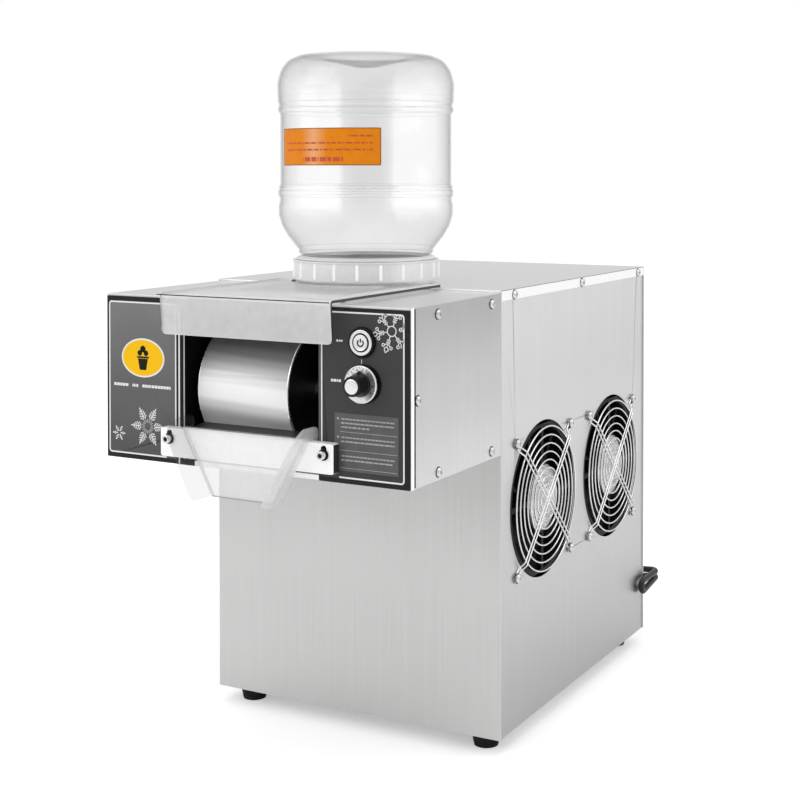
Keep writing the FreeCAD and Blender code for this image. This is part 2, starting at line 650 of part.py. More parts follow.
def bottle_profile(inset):
    """The upturned bottle's outline from neck to base, (radius, height above the cabinet's floor)."""
    outer = [(NECK_RADIUS, 363.5), (NECK_RADIUS, 368.7), (57.6, 375.4), (63.0, 382.2), (67.7, 390.2),
             (70.2, 398.3), (70.4, 406.4), (69.4, 413.0), (70.7, 417.8), (69.0, 423.5), (69.0, 480.4),
             (70.7, 485.0), (70.0, 488.0), (70.8, 491.0), (71.3, 500.0), (71.2, 505.0), (69.0, 514.1),
             (63.6, 522.8), (55.0, 527.2), (46.0, BOTTLE_END)]
    neck = (CAP_FLOOR + GASKET - FLOOR)
    points = [(NECK_RADIUS, neck)] + outer
    return [(r - inset, h) for r, h in points[:-1]] + [(points[-1][0], points[-1][1] - inset)]


def water_bottle():
    dimple = BOTTLE_END - 11.0
    shell = bottle_profile(0) + [(0, dimple), (0, dimple - BOTTLE_WALL)]
    inside = list(reversed(bottle_profile(BOTTLE_WALL)))
    return turned(shell + inside, (0, BOTTLE_Y, FLOOR))


# Controls

def power_button_body():
    """A ring on the panel and a barrel behind it, with a pocket for the button."""
    flange = rod((BUTTON_X, HEAD_FRONT, BUTTON_Z), 9.75, 2.4, -ALONG_Y)
    barrel = rod((BUTTON_X, HEAD_FRONT, BUTTON_Z), BARREL_RADIUS, 20, ALONG_Y)
    pocket = rod((BUTTON_X, HEAD_FRONT - 3, BUTTON_Z), 7.0, 9, ALONG_Y)
    tags = []
    for side in (-1, 1):
        x = BUTTON_X + side * 4
        tags.append(block((x - 0.4, x + 0.4), (HEAD_FRONT + 19, HEAD_FRONT + 27), (BUTTON_Z - 2, BUTTON_Z + 2)))
    return joined(joined(flange, barrel).cut(pocket), *tags)


def power_button():
    body = rod((BUTTON_X, HEAD_FRONT - 3.2, BUTTON_Z), 6.9, 6, ALONG_Y)
    rim = [e for e in body.Edges if len(e.Vertexes) == 1 and e.CenterOfMass.y < HEAD_FRONT]
    return body.makeFillet(0.6, rim)


def hexagon_nut(x, z, y, across_corners, bore, thick):
    points = []
    for corner in range(6):
        angle = math.radians(60 * corner)
        points.append(Vector(x + across_corners * math.cos(angle), y, z + across_corners * math.sin(angle)))
    blank = Part.Face(Part.makePolygon(points + points[:1])).extrude(Vector(0, thick, 0))
    return blank.cut(rod((x, y - 1, z), bore, thick + 2, ALONG_Y))


def panel_nuts():
    button_nut = hexagon_nut(BUTTON_X, BUTTON_Z, FRAME_BACK, 11.5, BARREL_RADIUS, 3.0)
    knob_nut = hexagon_nut(KNOB_X, KNOB_Z, HEAD_FRONT - 2.0, 6.4, BUSH_RADIUS, 2.0)
    return Part.Compound([button_nut, knob_nut])


def potentiometer():
    can = rod((KNOB_X, FRAME_BACK, KNOB_Z), 12.0, 12, ALONG_Y)
    bush = rod((KNOB_X, HEAD_FRONT - 2.2, KNOB_Z), BUSH_RADIUS, 5, ALONG_Y)
    tags = block((KNOB_X - 6, KNOB_X + 6), (FRAME_BACK + 4, FRAME_BACK + 5), (KNOB_Z - 17, KNOB_Z - 11))
    bore = rod((KNOB_X, HEAD_FRONT - 3, KNOB_Z), 3.0 + RUNNING_GAP, 11.5, ALONG_Y)
    return joined(can, bush, tags).cut(bore)


def potentiometer_shaft():
    return rod((KNOB_X, HEAD_FRONT - 14, KNOB_Z), 3.0, 22, ALONG_Y)


def speed_dial():
    """The knob's skirt, a disc that turns with it past a mark on the panel."""
    return ring((KNOB_X, HEAD_FRONT - 4.5, KNOB_Z), 13.0, 3.0, 1.5, ALONG_Y)


def speed_knob():
    front = HEAD_FRONT - 16.0
    profile = [(3.0, 0), (9.0, 0), (7.6, 11.0), (6.9, 11.5), (0, 11.5), (0, 9.5), (3.0, 9.5)]
    body = turned(profile, (KNOB_X, HEAD_FRONT - 4.5, KNOB_Z), -ALONG_Y)
    pointer = block((KNOB_X - 0.6, KNOB_X + 0.6), (front + 3, front + 11.4), (KNOB_Z + 6, KNOB_Z + 9.6))
    return joined(body, pointer)


# Fans

def fan_corners(y):
    half = FAN_PITCH / 2
    return [(y + a * half, FAN_Z + b * half) for a in (-1, 1) for b in (-1, 1)]


def fan_frame(y):
    """A square frame whose struts and motor hub are flush with its outer face."""
    half = FAN_SIZE / 2
    frame = block((FAN_BACK, SIDE_INNER), (y - half, y + half), (FAN_Z - half, FAN_Z + half))
    frame = frame.cut(rod((FAN_BACK - 1, y, FAN_Z), 57.8, FAN_DEPTH + 2, ALONG_X))
    strut_x = (SIDE_INNER - 3, SIDE_INNER)
    struts = block(strut_x, (y - 58.5, y + 58.5), (FAN_Z - 2, FAN_Z + 2))
    post = block(strut_x, (y - 2, y + 2), (FAN_Z - 58.5, FAN_Z + 58.5))
    hub = rod((SIDE_INNER - 5, y, FAN_Z), FAN_HUB, 5, ALONG_X)
    spindle_hole = rod((SIDE_INNER - 6, y, FAN_Z), 2.0 + RUNNING_GAP, 4, ALONG_X)
    screw_holes = [rod((FAN_BACK - 1, a, b), 1.7, FAN_DEPTH + 2, ALONG_X) for a, b in fan_corners(y)]
    return joined(frame, struts, post, hub).cut(Part.Compound(screw_holes + [spindle_hole]))


def fan_rotor(y):
    """A hub with seven flat slanted blades, whose spindle runs in the frame's hub."""
    hub = rod((FAN_BACK + 3, y, FAN_Z), FAN_HUB + 0.5, 16, ALONG_X)
    spindle = rod((FAN_BACK + 18, y, FAN_Z), 2.0, 4, ALONG_X)
    blades = []
    for number in range(7):
        blade = block((-0.8, 0.8), (-12.5, 12.5), (FAN_HUB + 0.2, 55.5))
        blade.rotate(Vector(), ALONG_Z, 52)
        blade.rotate(Vector(), ALONG_X, 360 / 7 * number + 12)
        blade.translate(Vector(FAN_BACK + 11.3, y, FAN_Z))
        blades.append(blade)
    return joined(hub, spindle, *blades)


def guard_arm(y, turn):
    """One leg of a wire guard: two wires from the middle to a corner, bent into an eyelet."""
    high = SIDE_OUTER + GUARD_STAND
    low = SIDE_OUTER + GUARD_WIRE
    eye = FAN_PITCH / 2 * math.sqrt(2)
    out = [(0.0, high), (61.0, high), (67.0, low), (eye + GUARD_SPREAD, low)]
    path = [(r, GUARD_SPREAD, x) for r, x in out] + [(r, -GUARD_SPREAD, x) for r, x in reversed(out)]
    points = []
    for radius, across, x in path:
        dy = radius * math.cos(turn) - across * math.sin(turn)
        dz = radius * math.sin(turn) + across * math.cos(turn)
        points.append((x, y + dy, FAN_Z + dz))
    return pipe(points, GUARD_WIRE, GUARD_SPREAD - 0.05)


def fan_guard(y):
    """Round wires welded behind four legs, which meet in the middle."""
    x = SIDE_OUTER + GUARD_STAND - 2 * GUARD_WIRE + 0.1
    rings = [Part.makeTorus(r, GUARD_WIRE, Vector(x, y, FAN_Z), ALONG_X) for r in GUARD_RINGS]
    arms = [guard_arm(y, math.radians(45 + 90 * corner)) for corner in range(4)]
    return rings[0].multiFuse(rings[1:] + arms)


def guard_screws():
    seats = []
    for y in FAN_YS:
        seats += [(SIDE_OUTER + 2 * GUARD_WIRE, a, b) for a, b in fan_corners(y)]
    return Part.Compound([pan_screw(s, ALONG_X, 3.6, 2.4, 1.3, 16.0) for s in seats])


# Refrigeration and wiring

def compressor():
    base = COMPRESSOR_BASE
    profile = [(0, 0), (38, 0), (48, 12), (50, 30), (50, 92), (46, 108), (32, 120), (0, 124)]
    can = turned(profile, (COMPRESSOR_X, COMPRESSOR_Y, base + 2))
    x = (COMPRESSOR_X - 56, COMPRESSOR_X + 56)
    y = (COMPRESSOR_Y - 50, COMPRESSOR_Y + 50)
    plate = block(x, y, (base, base + 3))
    holes = [rod((a, b, base - 1), 3.2, 6) for a, b in compressor_feet()]
    return joined(can, plate).cut(Part.Compound(holes))


def compressor_feet():
    return [(COMPRESSOR_X + a * 46, COMPRESSOR_Y + b * 40) for a in (-1, 1) for b in (-1, 1)]


def compressor_mounts():
    """Rubber grommets between the compressor's plate and the floor, each with a bolt."""
    low = PAN_TOP
    solids = []
    for x, y in compressor_feet():
        solids.append(ring((x, y, low), 8.0, 3.0, 9.0))
        solids.append(joined(rod((x, y, low), 3.0, 13.0), rod((x, y, low + 12.0), 5.5, 3.0)))
    return Part.Compound(solids)


def condenser():
    low, high = CONDENSER_LOW, CONDENSER_TOP
    core = block(CONDENSER_X, (-140, 140), (low, high))
    grooves = []
    for number in range(34):
        y = -138 + number * 8.2
        grooves.append(block((CONDENSER_X[0] - 1, CONDENSER_X[0] + 4), (y, y + 4), (low - 1, high + 1)))
        grooves.append(block((CONDENSER_X[1] - 4, CONDENSER_X[1] + 1), (y, y + 4), (low - 1, high + 1)))
    cheeks = [block(CONDENSER_X, (y, y + 2), (PAN_TOP, high)) for y in (-142, 140)]
    return joined(core.cut(Part.Compound(grooves)), *cheeks)


def refrigerant_lines():
    """Discharge line, liquid line, filter drier, capillary and suction line, as separate solids."""
    coil_x = sum(CONDENSER_X) / 2
    over = FLOOR + 250
    low = FLOOR + 32
    inlet = DRUM_Z - 6
    outlet = DRUM_Z + 6
    discharge = pipe([(COMPRESSOR_X, COMPRESSOR_Y, COMPRESSOR_TOP), (COMPRESSOR_X, COMPRESSOR_Y, over),
                      (coil_x, COMPRESSOR_Y, over), (coil_x, COMPRESSOR_Y, CONDENSER_TOP)], 3.0, 10)
    liquid = pipe([(coil_x, 100, CONDENSER_LOW), (coil_x, 100, low), (40, 100, low), (40, 60, low)], 3.0, 10)
    drier = turned([(0, 0), (4, 0), (9, 8), (9, 52), (4, 60), (0, 60)], (40, 0, low), ALONG_Y)
    capillary = pipe([(40, 0, low), (40, -30, low), (40, -30, inlet), (-120, -30, inlet),
                      (-120, DRUM_Y, inlet), (UNION_X, DRUM_Y, inlet)], 1.5, 8)
    suction = pipe([(UNION_X, DRUM_Y, outlet), (-116, DRUM_Y, outlet), (-116, COMPRESSOR_Y, outlet),
                    (-116, COMPRESSOR_Y, FLOOR + 72), (COMPRESSOR_X - 50, COMPRESSOR_Y, FLOOR + 72)], 3.0, 5)
    return Part.Compound([discharge, liquid, drier, capillary, suction])


def control_board():
    low = PAN_TOP
    board = block((-30, 55), (-145, -60), (low + 8, low + 9.6))
    posts = [rod((x, y, low), 3.0, 8.0) for x in (-25, 50) for y in (-140, -65)]
    transformer = block((-20, 10), (-135, -105), (low + 9, low + 34))
    relay = block((20, 45), (-130, -80), (low + 9, low + 24))
    capacitors = [rod((x, -80, low + 9), 8.0, 25) for x in (-12, 8)]
    parts = [transformer, relay] + capacitors
    return joined(board, *posts, *parts)


def strain_relief():
    base = (CORD_X, REAR - 6, CORD_Z)
    profile = [(CORD_RADIUS, 0), (5.9, 0), (5.9, 6), (8.5, 6), (8.5, 9), (6.2, 10), (4.8, 20),
               (CORD_RADIUS, 20)]
    return turned(profile, base, ALONG_Y)


def power_cord():
    """Out of the rear, round the rear right corner in one loop, and down to a plug on the counter."""
    behind = REAR + 26
    beside = SIDE_OUTER + CORD_RADIUS + 1.6
    front_of_loop = REAR - 14.5
    path = [(CORD_X, REAR - 30, CORD_Z), (CORD_X, behind - 5, CORD_Z), (beside + 2, behind - 3, CORD_Z + 1),
            (beside, front_of_loop, CORD_Z - 1), (beside, front_of_loop, CORD_Z - 11.5),
            (beside, behind + 2, CORD_Z - 6), (60, behind, CORD_Z - 16), (60, behind, PLUG_Z),
            (44, behind, PLUG_Z)]
    plug = block((12, 44), (behind - 8, behind + 8), (PLUG_Z - 11, PLUG_Z + 11))
    plug = plug.makeFillet(3.0, plug.Edges)
    pins = [rod((12.5, behind, PLUG_Z + side * 5.5), 2.0, 15, -ALONG_X) for side in (-1, 1)]
    return joined(pipe(path, CORD_RADIUS, 5.0), plug, *pins)


# Feet and fasteners

def foot_places():
    return [(a * 110.0, b * (DEPTH / 2 - 20.0)) for a in (-1, 1) for b in (-1, 1)]


def feet():
    solids = []
    for x, y in foot_places():
        top = PAN_LOW - COUNTER
        profile = [(0, 0), (9.5, 0), (12.4, top), (2.0, top), (2.0, 4.0), (0, 4.0)]
        solids.append(turned(profile, (x, y, COUNTER)))
    return Part.Compound(solids)


def foot_screw(x, y):
    low = COUNTER + 4.0
    shank = rod((x, y, low), 2.0, PAN_TOP - low)
    return joined(shank, rod((x, y, PAN_TOP), 3.8, 2.4))


def case_screws():
    """Pan screws of the roof's flanges, the head's sides and the feet."""
    solids = []
    for side in (-1, 1):
        outward = ALONG_X * side
        for depth in (23.9, 158.5, 293.7):
            solids.append(pan_screw((side * HALF_WIDTH, FRONT + depth, FLOOR + 339.3), outward))
        for reach, lift in ((100.7, 335.2), (15.9, 335.2), (129.3, 278.7), (99.8, 224.6), (16.0, 224.6)):
            solids.append(pan_screw((side * HALF_WIDTH, FRONT - reach, FLOOR + lift), outward, length=5.0))
    solids += [foot_screw(x, y) for x, y in foot_places()]
    return Part.Compound(solids)


def drilled(shape, fasteners):
    """The shape with the fasteners' own volume removed from it."""
    return shape.cut(fasteners)


def build():
    case = case_screws()
    guard = guard_screws()
    blade = blade_screws()
    front_fan, rear_fan = FAN_YS
    nodes = {
        "base_pan": drilled(base_pan(), case),
        "cabinet_front_panel": cabinet_front_panel(),
        "right_side_panel": drilled(drilled(right_side_panel(), case), guard),
        "left_side_panel": drilled(left_side_panel(), case),
        "rear_panel": rear_panel(),
        "top_cover": drilled(top_cover(), case),
        "head_bottom_pan": drilled(head_bottom_pan(), case),
        "head_right_side": drilled(head_side(1), case),
        "head_left_side": drilled(head_side(-1), case),
        "head_top_plate": drilled(head_top_plate(), case),
        "head_front_frame": drilled(drilled(drilled(head_front_frame(), case), blade), control_holes()),
        "control_panel": drilled(drilled(control_panel(), blade), control_holes()),
        "badge_panel": drilled(badge_panel(), blade),
        "chamber_left_wall": chamber_wall((OPENING_LEFT - SHEET, OPENING_LEFT)),
        "chamber_right_wall": chamber_wall((OPENING_RIGHT, OPENING_RIGHT + SHEET)),
        "chamber_back_wall": chamber_back_wall(),
        "visor": visor(),
        "blade_bar": blade_bar(),
        "scraper_blade": scraper_blade(),
        "blade_screws": blade,
        "ice_chute": ice_chute(),
        "drum_shell": drum_shell(),
        "drum_end_left": drum_end(-1),
        "drum_end_right": drum_end(1),
        "drum_shaft": drum_shaft(),
        "drum_bearings": drum_bearings(),
        "rotary_union": rotary_union(),
        "drum_gear": drum_gear(),
        "motor_pinion": motor_pinion(),
        "gear_motor": gear_motor(),
        "motor_bracket": motor_bracket(),
        "water_trough": water_trough(),
        "feed_tube": feed_tube(),
        "bottle_seat": bottle_seat(),
        "water_bottle": water_bottle(),
        "bottle_cap": bottle_cap(),
        "cap_gasket": cap_gasket(),
        "valve_plunger": valve_plunger(),
        "valve_spring": valve_spring(),
        "power_button": power_button(),
        "power_button_body": power_button_body(),
        "panel_nuts": panel_nuts(),
        "speed_knob": speed_knob(),
        "speed_dial": speed_dial(),
        "potentiometer": potentiometer(),
        "potentiometer_shaft": potentiometer_shaft(),
        "fan_frames": Part.Compound([fan_frame(y) for y in FAN_YS]),
        "front_fan_rotor": fan_rotor(front_fan),
        "rear_fan_rotor": fan_rotor(rear_fan),
        "fan_guards": Part.Compound([fan_guard(y) for y in FAN_YS]),
        "guard_screws": guard,
        "compressor": compressor(),
        "compressor_mounts": compressor_mounts(),
        "condenser": condenser(),
        "refrigerant_lines": refrigerant_lines(),
        "control_board": control_board(),
        "strain_relief": strain_relief(),
        "power_cord": power_cord(),
        "feet": feet(),
        "case_screws": case,
    }
    os.makedirs("parts", exist_ok=True)
    for name, shape in nodes.items():
        shape.exportStep("parts/" + name + ".step")


build()
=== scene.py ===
import math

import bmesh
import bpy
from mathutils import Matrix, Vector


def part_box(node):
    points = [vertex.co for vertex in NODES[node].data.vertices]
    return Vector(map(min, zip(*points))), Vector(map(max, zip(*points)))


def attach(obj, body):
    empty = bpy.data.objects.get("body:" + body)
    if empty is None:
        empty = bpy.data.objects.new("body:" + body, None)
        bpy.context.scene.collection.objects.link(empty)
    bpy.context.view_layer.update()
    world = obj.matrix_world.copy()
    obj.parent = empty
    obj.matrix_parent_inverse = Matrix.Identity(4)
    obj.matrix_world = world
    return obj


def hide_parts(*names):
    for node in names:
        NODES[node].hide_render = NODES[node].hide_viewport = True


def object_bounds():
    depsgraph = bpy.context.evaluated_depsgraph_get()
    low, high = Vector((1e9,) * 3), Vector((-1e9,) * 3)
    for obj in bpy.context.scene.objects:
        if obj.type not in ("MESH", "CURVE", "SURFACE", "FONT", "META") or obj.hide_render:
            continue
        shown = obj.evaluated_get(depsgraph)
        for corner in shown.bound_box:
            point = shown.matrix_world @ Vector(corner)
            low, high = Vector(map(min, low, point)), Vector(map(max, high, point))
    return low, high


# The looks of a countertop shaved ice machine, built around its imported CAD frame.
# Lengths are in metres in the row frame: the front faces -Y, +X is to the right and +Z is up.

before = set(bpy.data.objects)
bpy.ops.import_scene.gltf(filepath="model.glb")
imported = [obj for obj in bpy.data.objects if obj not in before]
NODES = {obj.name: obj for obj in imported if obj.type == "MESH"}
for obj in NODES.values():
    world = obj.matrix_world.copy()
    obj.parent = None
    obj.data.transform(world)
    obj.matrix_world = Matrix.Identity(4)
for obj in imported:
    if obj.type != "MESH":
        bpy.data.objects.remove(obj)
cad_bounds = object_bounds()
MM = 0.001

RIGHT = Vector((1, 0, 0))
LEFT = Vector((-1, 0, 0))
FORWARD = Vector((0, -1, 0))
BACKWARD = Vector((0, 1, 0))
UP = Vector((0, 0, 1))

FASCIA_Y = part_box("control_panel")[0].y
COUNTER_Z = cad_bounds[0].z

# The view: how far the camera stands to the right of the front, and how far above level.
VIEW_TURN = math.radians(27.54)
VIEW_RISE = math.radians(0.9)
VIEW_RIGHT = Vector((math.cos(VIEW_TURN), math.sin(VIEW_TURN), 0))


def centre_of(node):
    low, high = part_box(node)
    return (low + high) / 2


# Outlines

def rounded(corners, steps=6, closed=True):
    """An outline through corners (x, y) or (x, y, radius), with an arc at each that has a radius."""
    outline = []
    last = len(corners) - 1
    for index, corner in enumerate(corners):
        here = Vector(corner[:2])
        at_an_end = not closed and index in (0, last)
        if len(corner) == 2 or at_an_end:
            outline.append(here)
            continue
        before = Vector(corners[index - 1][:2]) - here
        after = Vector(corners[(index + 1) % len(corners)][:2]) - here
        half = before.angle(after) / 2
        trim = min(corner[2] / math.tan(half), before.length * 0.499, after.length * 0.499)
        radius = trim * math.tan(half)
        centre = here + (before.normalized() + after.normalized()).normalized() * (radius / math.sin(half))
        start = here + before.normalized() * trim - centre
        end = here + after.normalized() * trim - centre
        sweep = start.angle_signed(end)
        for step in range(steps + 1):
            outline.append(centre + Matrix.Rotation(-sweep * step / steps, 2) @ start)
    return outline


def circle(centre, radius, steps=40):
    x, y = centre
    angles = [2 * math.pi * step / steps for step in range(steps)]
    return [Vector((x + radius * math.cos(a), y + radius * math.sin(a))) for a in angles]


def rectangle(x, y, radius=0.0, steps=6):
    corners = [(x[0], y[0]), (x[1], y[0]), (x[1], y[1]), (x[0], y[1])]
    if not radius:
        return [Vector(corner) for corner in corners]
    return rounded([corner + (radius,) for corner in corners], steps)


def bar(start, end, width):
    """A straight stroke between two points."""
    a, b = Vector(start), Vector(end)
    side = (b - a).orthogonal().normalized() * (width / 2)
    return [a + side, a - side, b - side, b + side]


def arc_band(centre, radius, width, start, end, steps=24):
    """A stroke along part of a circle. Start and end are in degrees."""
    angles = [math.radians(start + (end - start) * step / steps) for step in range(steps + 1)]
    rim = []
    for reach, order in ((radius + width / 2, angles), (radius - width / 2, reversed(angles))):
        rim += [Vector((centre[0] + reach * math.cos(a), centre[1] + reach * math.sin(a))) for a in order]
    return rim


# Solids

def skin(bm, first, second, closed=True):
    """Faces between two rows of vertices of the same length."""
    count = len(first)
    for here in range(count if closed else count - 1):
        following = (here + 1) % count
        bm.faces.new((first[here], first[following], second[following], second[here]))


def prism(bm, loop, low, high, inner=None, place=Matrix()):
    """A solid between two heights over a loop, with a hole if an inner loop of equal length is given."""
    rings = [[bm.verts.new(place @ Vector((p[0], p[1], z))) for p in loop] for z in (low, high)]
    skin(bm, rings[0], rings[1])
    if inner is None:
        bm.faces.new(rings[0])
        bm.faces.new(rings[1])
        return
    holes = [[bm.verts.new(place @ Vector((p[0], p[1], z))) for p in inner] for z in (low, high)]
    skin(bm, holes[0], holes[1])
    skin(bm, rings[0], holes[0])
    skin(bm, rings[1], holes[1])


def loft(bm, rings, wrap=False):
    """A solid through rings of points. It is capped at both ends, or wraps round to its first ring."""
    rows = [[bm.verts.new(p) for p in ring] for ring in rings]
    for first, second in zip(rows, rows[1:]):
        skin(bm, first, second)
    if wrap:
        skin(bm, rows[-1], rows[0])
        return
    bm.faces.new(rows[0])
    bm.faces.new(rows[-1])


def lathe(bm, profile, steps=96, wrap=False, shape=None, place=Matrix()):
    """Turns (radius, height) points about place's z. Shape may alter a radius from its angle and height."""
    rings = []
    for radius, height in profile:
        ring = []
        for step in range(steps):
            angle = 2 * math.pi * step / steps
            reach = shape(radius, height, angle) if shape else radius
            ring.append(place @ Vector((reach * math.cos(angle), reach * math.sin(angle), height)))
        rings.append(ring)
    loft(bm, rings, wrap)


def in_mm(corners, steps=6, closed=True):
    """An outline through corners whose sizes are in millimetres."""
    return rounded([[size * MM for size in corner] for corner in corners], steps, closed)


def cut_across(bm, spot, way):
    """Scores every face that a plane crosses."""
    everything = list(bm.verts) + list(bm.edges) + list(bm.faces)
    bmesh.ops.bisect_plane(bm, geom=everything, plane_co=spot, plane_no=way)


def shade(mesh, sharp):
    mesh.shade_smooth()
    mesh.set_sharp_from_angle(angle=math.radians(sharp))


def finished(data, modify=None):
    """The mesh of a curve or mesh after its modifiers."""
    holder = bpy.data.objects.new("holder", data)
    bpy.context.scene.collection.objects.link(holder)
    if modify:
        modify(holder.modifiers)
    mesh = bpy.data.meshes.new_from_object(holder.evaluated_get(bpy.context.evaluated_depsgraph_get()))
    bpy.data.objects.remove(holder)
    return mesh


def solid(name, build, place=None, sharp=38):
    """The mesh that build draws into, put in place and shaded smooth up to an edge angle in degrees."""
    bm = bmesh.new()
    build(bm)
    bmesh.ops.remove_doubles(bm, verts=bm.verts, dist=1e-7)
    bmesh.ops.recalc_face_normals(bm, faces=bm.faces)
    mesh = bpy.data.meshes.new(name)
    bm.to_mesh(mesh)
    bm.free()
    if place is not None:
        mesh.transform(place)
    shade(mesh, sharp)
    return mesh


def facing(normal, spot, upright=UP):
    """Where local z looks along normal and local y along upright, standing on spot."""
    across = upright.cross(normal)
    return Matrix.Translation(spot) @ Matrix((across, upright, normal)).transposed().to_4x4()


def add_piece(mesh, body, slot, *materials, stands_for=()):
    piece = bpy.data.objects.new(mesh.name, mesh)
    bpy.context.scene.collection.objects.link(piece)
    for material in materials:
        mesh.materials.append(material)
    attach(piece, body)
    if stands_for:
        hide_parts(*stands_for)
    return piece


def soften(piece, width, segments=2, angle=35):
    """Rounds a piece's sharp edges. The mesh itself stays as it is."""
    weld = piece.modifiers.new("weld", "WELD")
    weld.merge_threshold = 1e-6
    bevel = piece.modifiers.new("bevel", "BEVEL")
    bevel.width = width
    bevel.segments = segments
    bevel.limit_method = "ANGLE"
    bevel.angle_limit = math.radians(angle)
    bevel.harden_normals = True


PRINT = facing(FORWARD, Vector((0, FASCIA_Y, 0)))
INK = 0.08 * MM


# Materials

class Recipe:
    """A procedural material. Each method adds a node and returns the output to use next."""

    def __init__(self, name):
        self.material = bpy.data.materials.new(name)
        self.material.use_nodes = True
        self.tree = self.material.node_tree
        self.surface = self.tree.nodes["Principled BSDF"]
        self.end = self.tree.nodes["Material Output"].inputs["Surface"]
        self.place = self.tree.nodes.new("ShaderNodeTexCoord").outputs["Object"]

    def feed(self, socket, value):
        if isinstance(value, bpy.types.NodeSocket):
            self.tree.links.new(value, socket)
        elif socket.type == "RGBA" and not isinstance(value, float):
            socket.default_value = (*value, 1.0)
        elif socket.type == "RGBA":
            socket.default_value = (value, value, value, 1.0)
        else:
            socket.default_value = value

    def node(self, kind, inputs, output=0, **settings):
        made = self.tree.nodes.new("ShaderNode" + kind)
        for key, value in settings.items():
            setattr(made, key, value)
        for key, value in inputs.items():
            self.feed(made.inputs[key], value)
        return made.outputs[output]

    def noise(self, sizes, detail=2.0, place=None):
        """Noise whose grains have these sizes along x, y and z."""
        scale = [1 / size for size in sizes] if isinstance(sizes, (tuple, list)) else [1 / sizes] * 3
        mapped = self.node("Mapping", {"Vector": place or self.place, "Scale": scale})
        return self.node("TexNoise", {"Vector": mapped, "Scale": 1.0, "Detail": detail}, "Fac")

    def remap(self, value, low, high, start=0.3, end=0.7):
        numbers = {"Value": value, "From Min": start, "From Max": end, "To Min": low, "To Max": high}
        return self.node("MapRange", numbers)

    def mix(self, factor, first, second):
        return self.node("Mix", {0: factor, 6: first, 7: second}, 2, data_type="RGBA")

    def tinted(self, first, second):
        """One colour multiplied by another."""
        return self.node("Mix", {0: 1.0, 6: first, 7: second}, 2, data_type="RGBA", blend_type="MULTIPLY")

    def uneven(self, share, tone, contrast):
        """A tone that goes from a little darker to a little lighter."""
        darker = [part * (1 - contrast) for part in tone]
        lighter = [min(1.0, part * (1 + contrast)) for part in tone]
        return self.mix(share, darker, lighter)

    def calc(self, operation, first, second=0.0):
        return self.node("Math", {0: first, 1: second}, operation=operation)

    def near(self, value, centre, reach):
        """1 where a value is within reach of a centre, and 0 elsewhere."""
        return self.node("Math", {0: value, 1: centre, 2: reach}, operation="COMPARE")

    def position(self):
        """The place's own x, y and z, for gradients."""
        made = self.tree.nodes.new("ShaderNodeSeparateXYZ")
        self.feed(made.inputs[0], self.place)
        return made.outputs

    def bump(self, value, depth):
        return self.node("Bump", {"Height": value, "Distance": depth, "Strength": 1.0})

    def ramp(self, value, stops):
        """A tone for each (place, tone) stop, blended smoothly between them."""
        made = self.tree.nodes.new("ShaderNodeValToRGB")
        band = made.color_ramp
        band.interpolation = "EASE"
        while len(band.elements) < len(stops):
            band.elements.new(0.5)
        for element, (spot, tone) in zip(band.elements, sorted(stops)):
            element.position = spot
            element.color = (tone, tone, tone, 1.0)
        self.feed(made.inputs[0], value)
        return made.outputs[0]

    def turned_to(self, direction):
        """From 0 to 1 as the surface turns from away from a world direction to straight along it."""
        normal = self.node("NewGeometry", {}, "Normal")
        likeness = self.node("VectorMath", {0: normal, 1: tuple(direction)}, "Value", operation="DOT_PRODUCT")
        return self.remap(likeness, 0.0, 1.0, -1.0, 1.0)

    def sideways(self):
        """1 where the surface faces straight left or right, and 0 elsewhere."""
        turned = self.calc("ABSOLUTE", self.calc("SUBTRACT", self.turned_to(RIGHT), 0.5))
        return self.calc("GREATER_THAN", turned, 0.35)

    def edges(self, width, low=0.02, high=0.12):
        """1 along sheet edges and 0 on the faces between them."""
        soft = self.node("Bevel", {"Radius": width}, samples=4)
        hard = self.node("NewGeometry", {}, "Normal")
        same = self.node("VectorMath", {0: soft, 1: hard}, "Value", operation="DOT_PRODUCT")
        return self.remap(self.calc("SUBTRACT", 1.0, same), 0.0, 1.0, low, high)

    def facing(self, power):
        """0 where the surface faces the eye, rising to 1 at its edge."""
        glance = self.node("LayerWeight", {"Blend": 0.5}, "Facing")
        return self.calc("POWER", glance, power)

    def done(self, **inputs):
        for key, value in inputs.items():
            self.feed(self.surface.inputs[key.replace("_", " ")], value)
        return self.material


def grained(sizes, grain, length):
    """Noise sizes that are long along the grain's axis."""
    return [length if axis == grain else sizes for axis in "xyz"]


